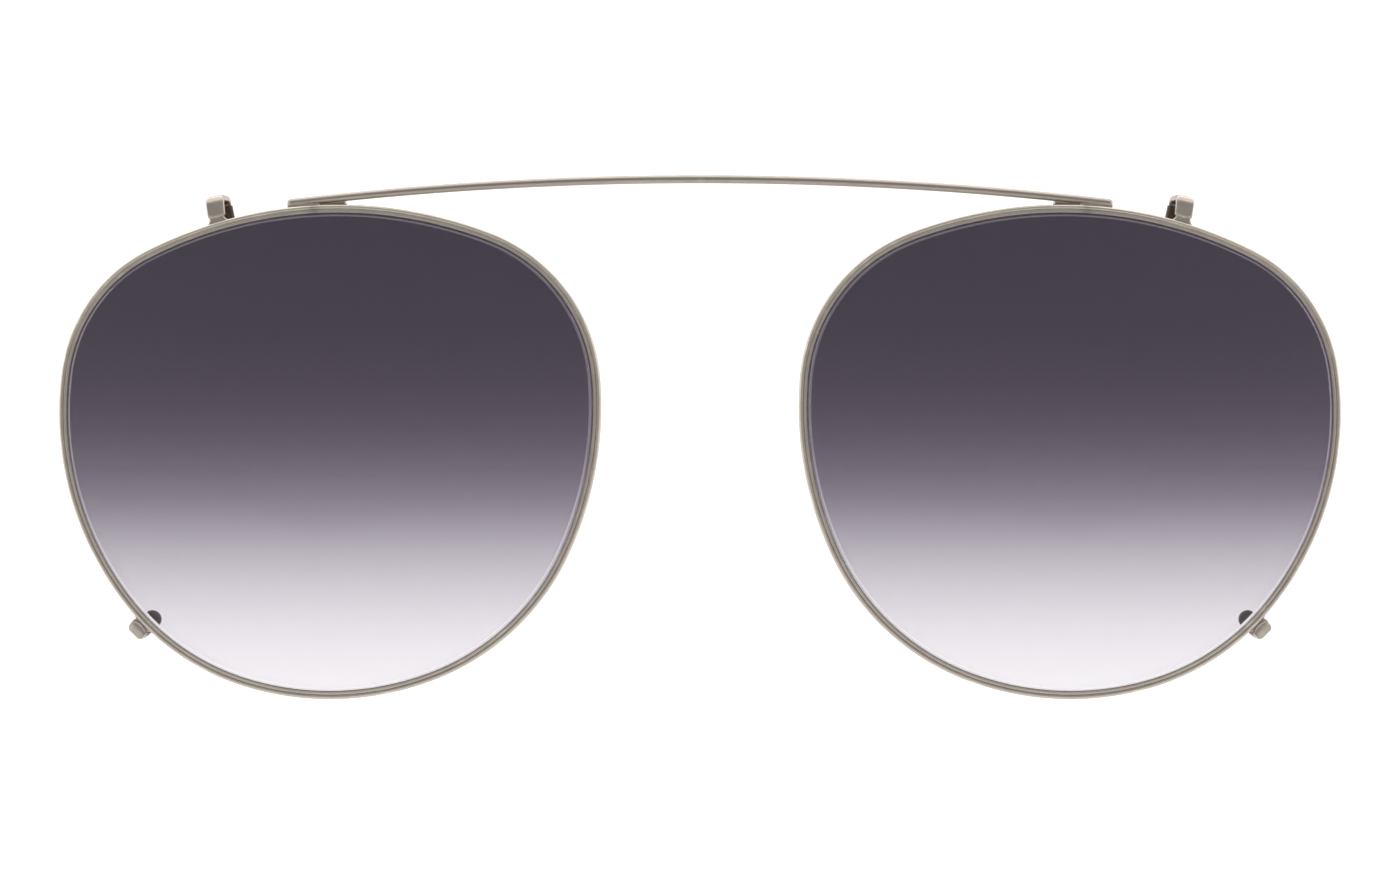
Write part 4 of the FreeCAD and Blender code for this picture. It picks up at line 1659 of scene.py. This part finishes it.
@dataclass(frozen=True)
class Studio:
    """The pale sweep, the lamps and the camera."""

    floor: float = -0.080
    wall: float = 1.60
    curve: float = 0.60
    half_width: float = 2.4
    front: float = -3.0
    top: float = 2.2
    distance: float = 0.470
    view_width: float = 0.1337
    eye_height: float = 0.00138
    air_colour: tuple[float, float, float] = (1.0, 0.99, 0.97)
    air_before: tuple[float, float] = (-1.0, 0.36)
    air_behind: tuple[float, float] = (-0.1, 1.35)
    lamps: tuple[SoftBox, ...] = (
        SoftBox("lamp_above", (0.0, 0.05, 0.70), (1.4, 0.7), 3.6),
        SoftBox("lamp_left", (-0.80, -0.05, 0.20), (0.6, 0.6), 1.4),
        SoftBox("lamp_right", (0.80, -0.05, 0.20), (0.6, 0.6), 1.4),
        SoftBox("lamp_wall", (0.0, 0.80, 1.20), (2.4, 0.5), 14.0, (0.0, 1.60, 0.0)),
    )

    def sweep(self, finish: bpy.types.Material) -> None:
        """The floor, curved up into the wall behind.

        Args:
            finish: Its finish.
        """
        line = [(self.front, self.floor), (self.wall - self.curve, self.floor)]
        for turn in np.radians(np.linspace(0.0, 90.0, 13)[1:]):
            line.append((self.wall - self.curve + self.curve * math.sin(turn),
                         self.floor + self.curve * (1 - math.cos(turn))))
        line.append((self.wall, self.top))
        verts = [(x, y, z) for y, z in line for x in (-self.half_width, self.half_width)]
        faces = [(2 * step, 2 * step + 1, 2 * step + 3, 2 * step + 2) for step in range(len(line) - 1)]
        data = bpy.data.meshes.new("pale_sweep")
        data.from_pydata(verts, [], faces)
        data.shade_smooth()
        made = laid_out("pale_sweep", data)
        dress(made, finish)
        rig.stage(made)

    def air(self) -> None:
        """The room's own light: dimmer from the camera's end than from the wall's."""
        world = bpy.data.worlds.new("studio_air")
        world.use_nodes = True
        nodes = world.node_tree.nodes
        links = world.node_tree.links
        where = nodes.new("ShaderNodeTexCoord")
        apart = nodes.new("ShaderNodeSeparateXYZ")
        links.new(where.outputs["Generated"], apart.inputs[0])
        ramp = nodes.new("ShaderNodeMapRange")
        ramp.interpolation_type = "SMOOTHSTEP"
        for end, (way, strength) in (("Min", self.air_before), ("Max", self.air_behind)):
            ramp.inputs[f"From {end}"].default_value = way
            ramp.inputs[f"To {end}"].default_value = strength
        links.new(apart.outputs["Y"], ramp.inputs["Value"])
        back = nodes["Background"]
        back.inputs["Color"].default_value = (*self.air_colour, 1.0)
        links.new(ramp.outputs[0], back.inputs["Strength"])
        bpy.context.scene.world = world

    def camera(self) -> None:
        """The camera, level and straight in front."""
        data = bpy.data.cameras.new("camera")
        data.sensor_width = 36.0
        data.lens = 36.0 * self.distance / self.view_width
        data.clip_start = 0.01
        data.clip_end = 20.0
        made = laid_out("camera", data)
        made.location = (0.0, -self.distance, self.eye_height)
        made.rotation_euler = (math.radians(90.0), 0.0, 0.0)
        bpy.context.scene.camera = made

    def build(self) -> None:
        """Set up the whole stage."""
        bpy.context.scene.view_settings.view_transform = "Standard"
        self.sweep(PalePaper().make())
        for lamp in self.lamps:
            lamp.light()
        self.air()
        self.camera()


# ---- The clip-on -----------------------------------------------------------------------------

@dataclass(frozen=True)
class ClipOn:
    """The whole clip-on: two eyes on one spring bar."""

    eye: Outline = Outline()

    def claws(self) -> list[Claw]:
        """The two claws of one eye.

        Returns:
            The upper and the lower claw.
        """
        return [
            Claw(self.eye, Corner.UPPER, turn=106.2, lean=-4.2, rise=2.56, plate_width=1.70, taper=-0.05,
                 tilt=5.0, shift=-0.13, leg_shift=0.20, neck_height=0.50, neck_width=1.44,
                 foot_width=2.40, foot_shift=0.26, crease=0.52, crease_bow=0.16),
            Claw(self.eye, Corner.LOWER, turn=224.3, lean=0.7, rise=1.45, plate_width=1.92, taper=0.09,
                 tilt=0.0, shift=0.0, leg_shift=0.0, neck_height=0.22, neck_width=1.76,
                 foot_width=2.36, foot_shift=0.0, crease=0.10, crease_bow=0.26),
        ]

    def build(self) -> None:
        """Make every piece."""
        rim = Rim(self.eye)
        lens = Lens(self.eye, rim)
        bar = SpringBar(self.eye, rim)
        block = ClosingBlock(self.eye, rim)
        wire_finish = OldSilver("rim_old_silver").make()
        bar_finish = OldSilver("bar_old_silver", rubbed=(0.40, 0.36, 0.316), body=(0.315, 0.281, 0.249),
                               tarnish=(0.20, 0.176, 0.154), drawn=(6.0, 1.0, 1.0)).make()
        # The block halves take a darker copy of the silver: painted shade for the gap between bar and rim where they
        # sit.
        block_shaded_finish = OldSilver("block_silver_painted_shade", rubbed=(0.42, 0.37, 0.30), body=(0.30, 0.262, 0.215),
                                 tarnish=(0.16, 0.135, 0.11), roughness=0.48).make()
        # One claw metal in two copies: the lower claws' copy is darker, painted shade at the lower corners.
        claw_finishes = {
            Corner.UPPER: OldSilver("claw_old_silver", rubbed=(0.52, 0.467, 0.41),
                                    body=(0.40, 0.357, 0.316), roughness=0.38).make(),
            Corner.LOWER: OldSilver("low_claw_old_silver", rubbed=(0.41, 0.368, 0.323),
                                    body=(0.315, 0.281, 0.249), tarnish=(0.20, 0.176, 0.154),
                                    roughness=0.38).make(),
        }
        braze_finish = Braze("silver_braze").make()
        sleeve_finish = SoftRubber("brown_rubber").make()
        dyed = DyedLens("dyed_lens").make()
        clear = DyedLens("ground_edge", strength=0.45).make()
        rim_nodes = rim_tree()
        wire_nodes = wire_tree()
        for side in Side:
            rim.build(side, rim_nodes, wire_finish)
            lens.build(side, dyed, clear)
            bar.build(side, wire_nodes, bar_finish)
            depth, height = block.middle
            middle = block.place(side) @ Vector((0.0, depth, height))
            screw_finish = TurnedSteel(f"screw_steel_{side.value}", tuple(middle)).make()
            block.build(side, bar, block_shaded_finish, screw_finish, braze_finish)
            for claw in self.claws():
                claw.build(side, claw_finishes[claw.corner], sleeve_finish)


def corners(box: Sequence[Sequence[float]]) -> list[list[float]]:
    """A box's corners as plain lists."""
    return [list(map(float, corner)) for corner in box]


def main() -> None:
    """Build the clip-on and its stage, and write how large both models are."""
    logging.basicConfig(level=logging.INFO, format="%(name)s: %(message)s")
    packed = corners(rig.bounds())
    log.info("frame: %d bodies, %d nodes, %d joints",
             len(frame["bodies"]), len(frame["nodes"]), len(frame["joints"]))
    ClipOn().build()
    Studio().build()
    sizes = {"cad": packed, "visual": corners(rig.bounds())}
    with open(SIZE_FILE, "w", encoding="utf-8") as out:
        json.dump(sizes, out)


if __name__ == "__main__":
    main()
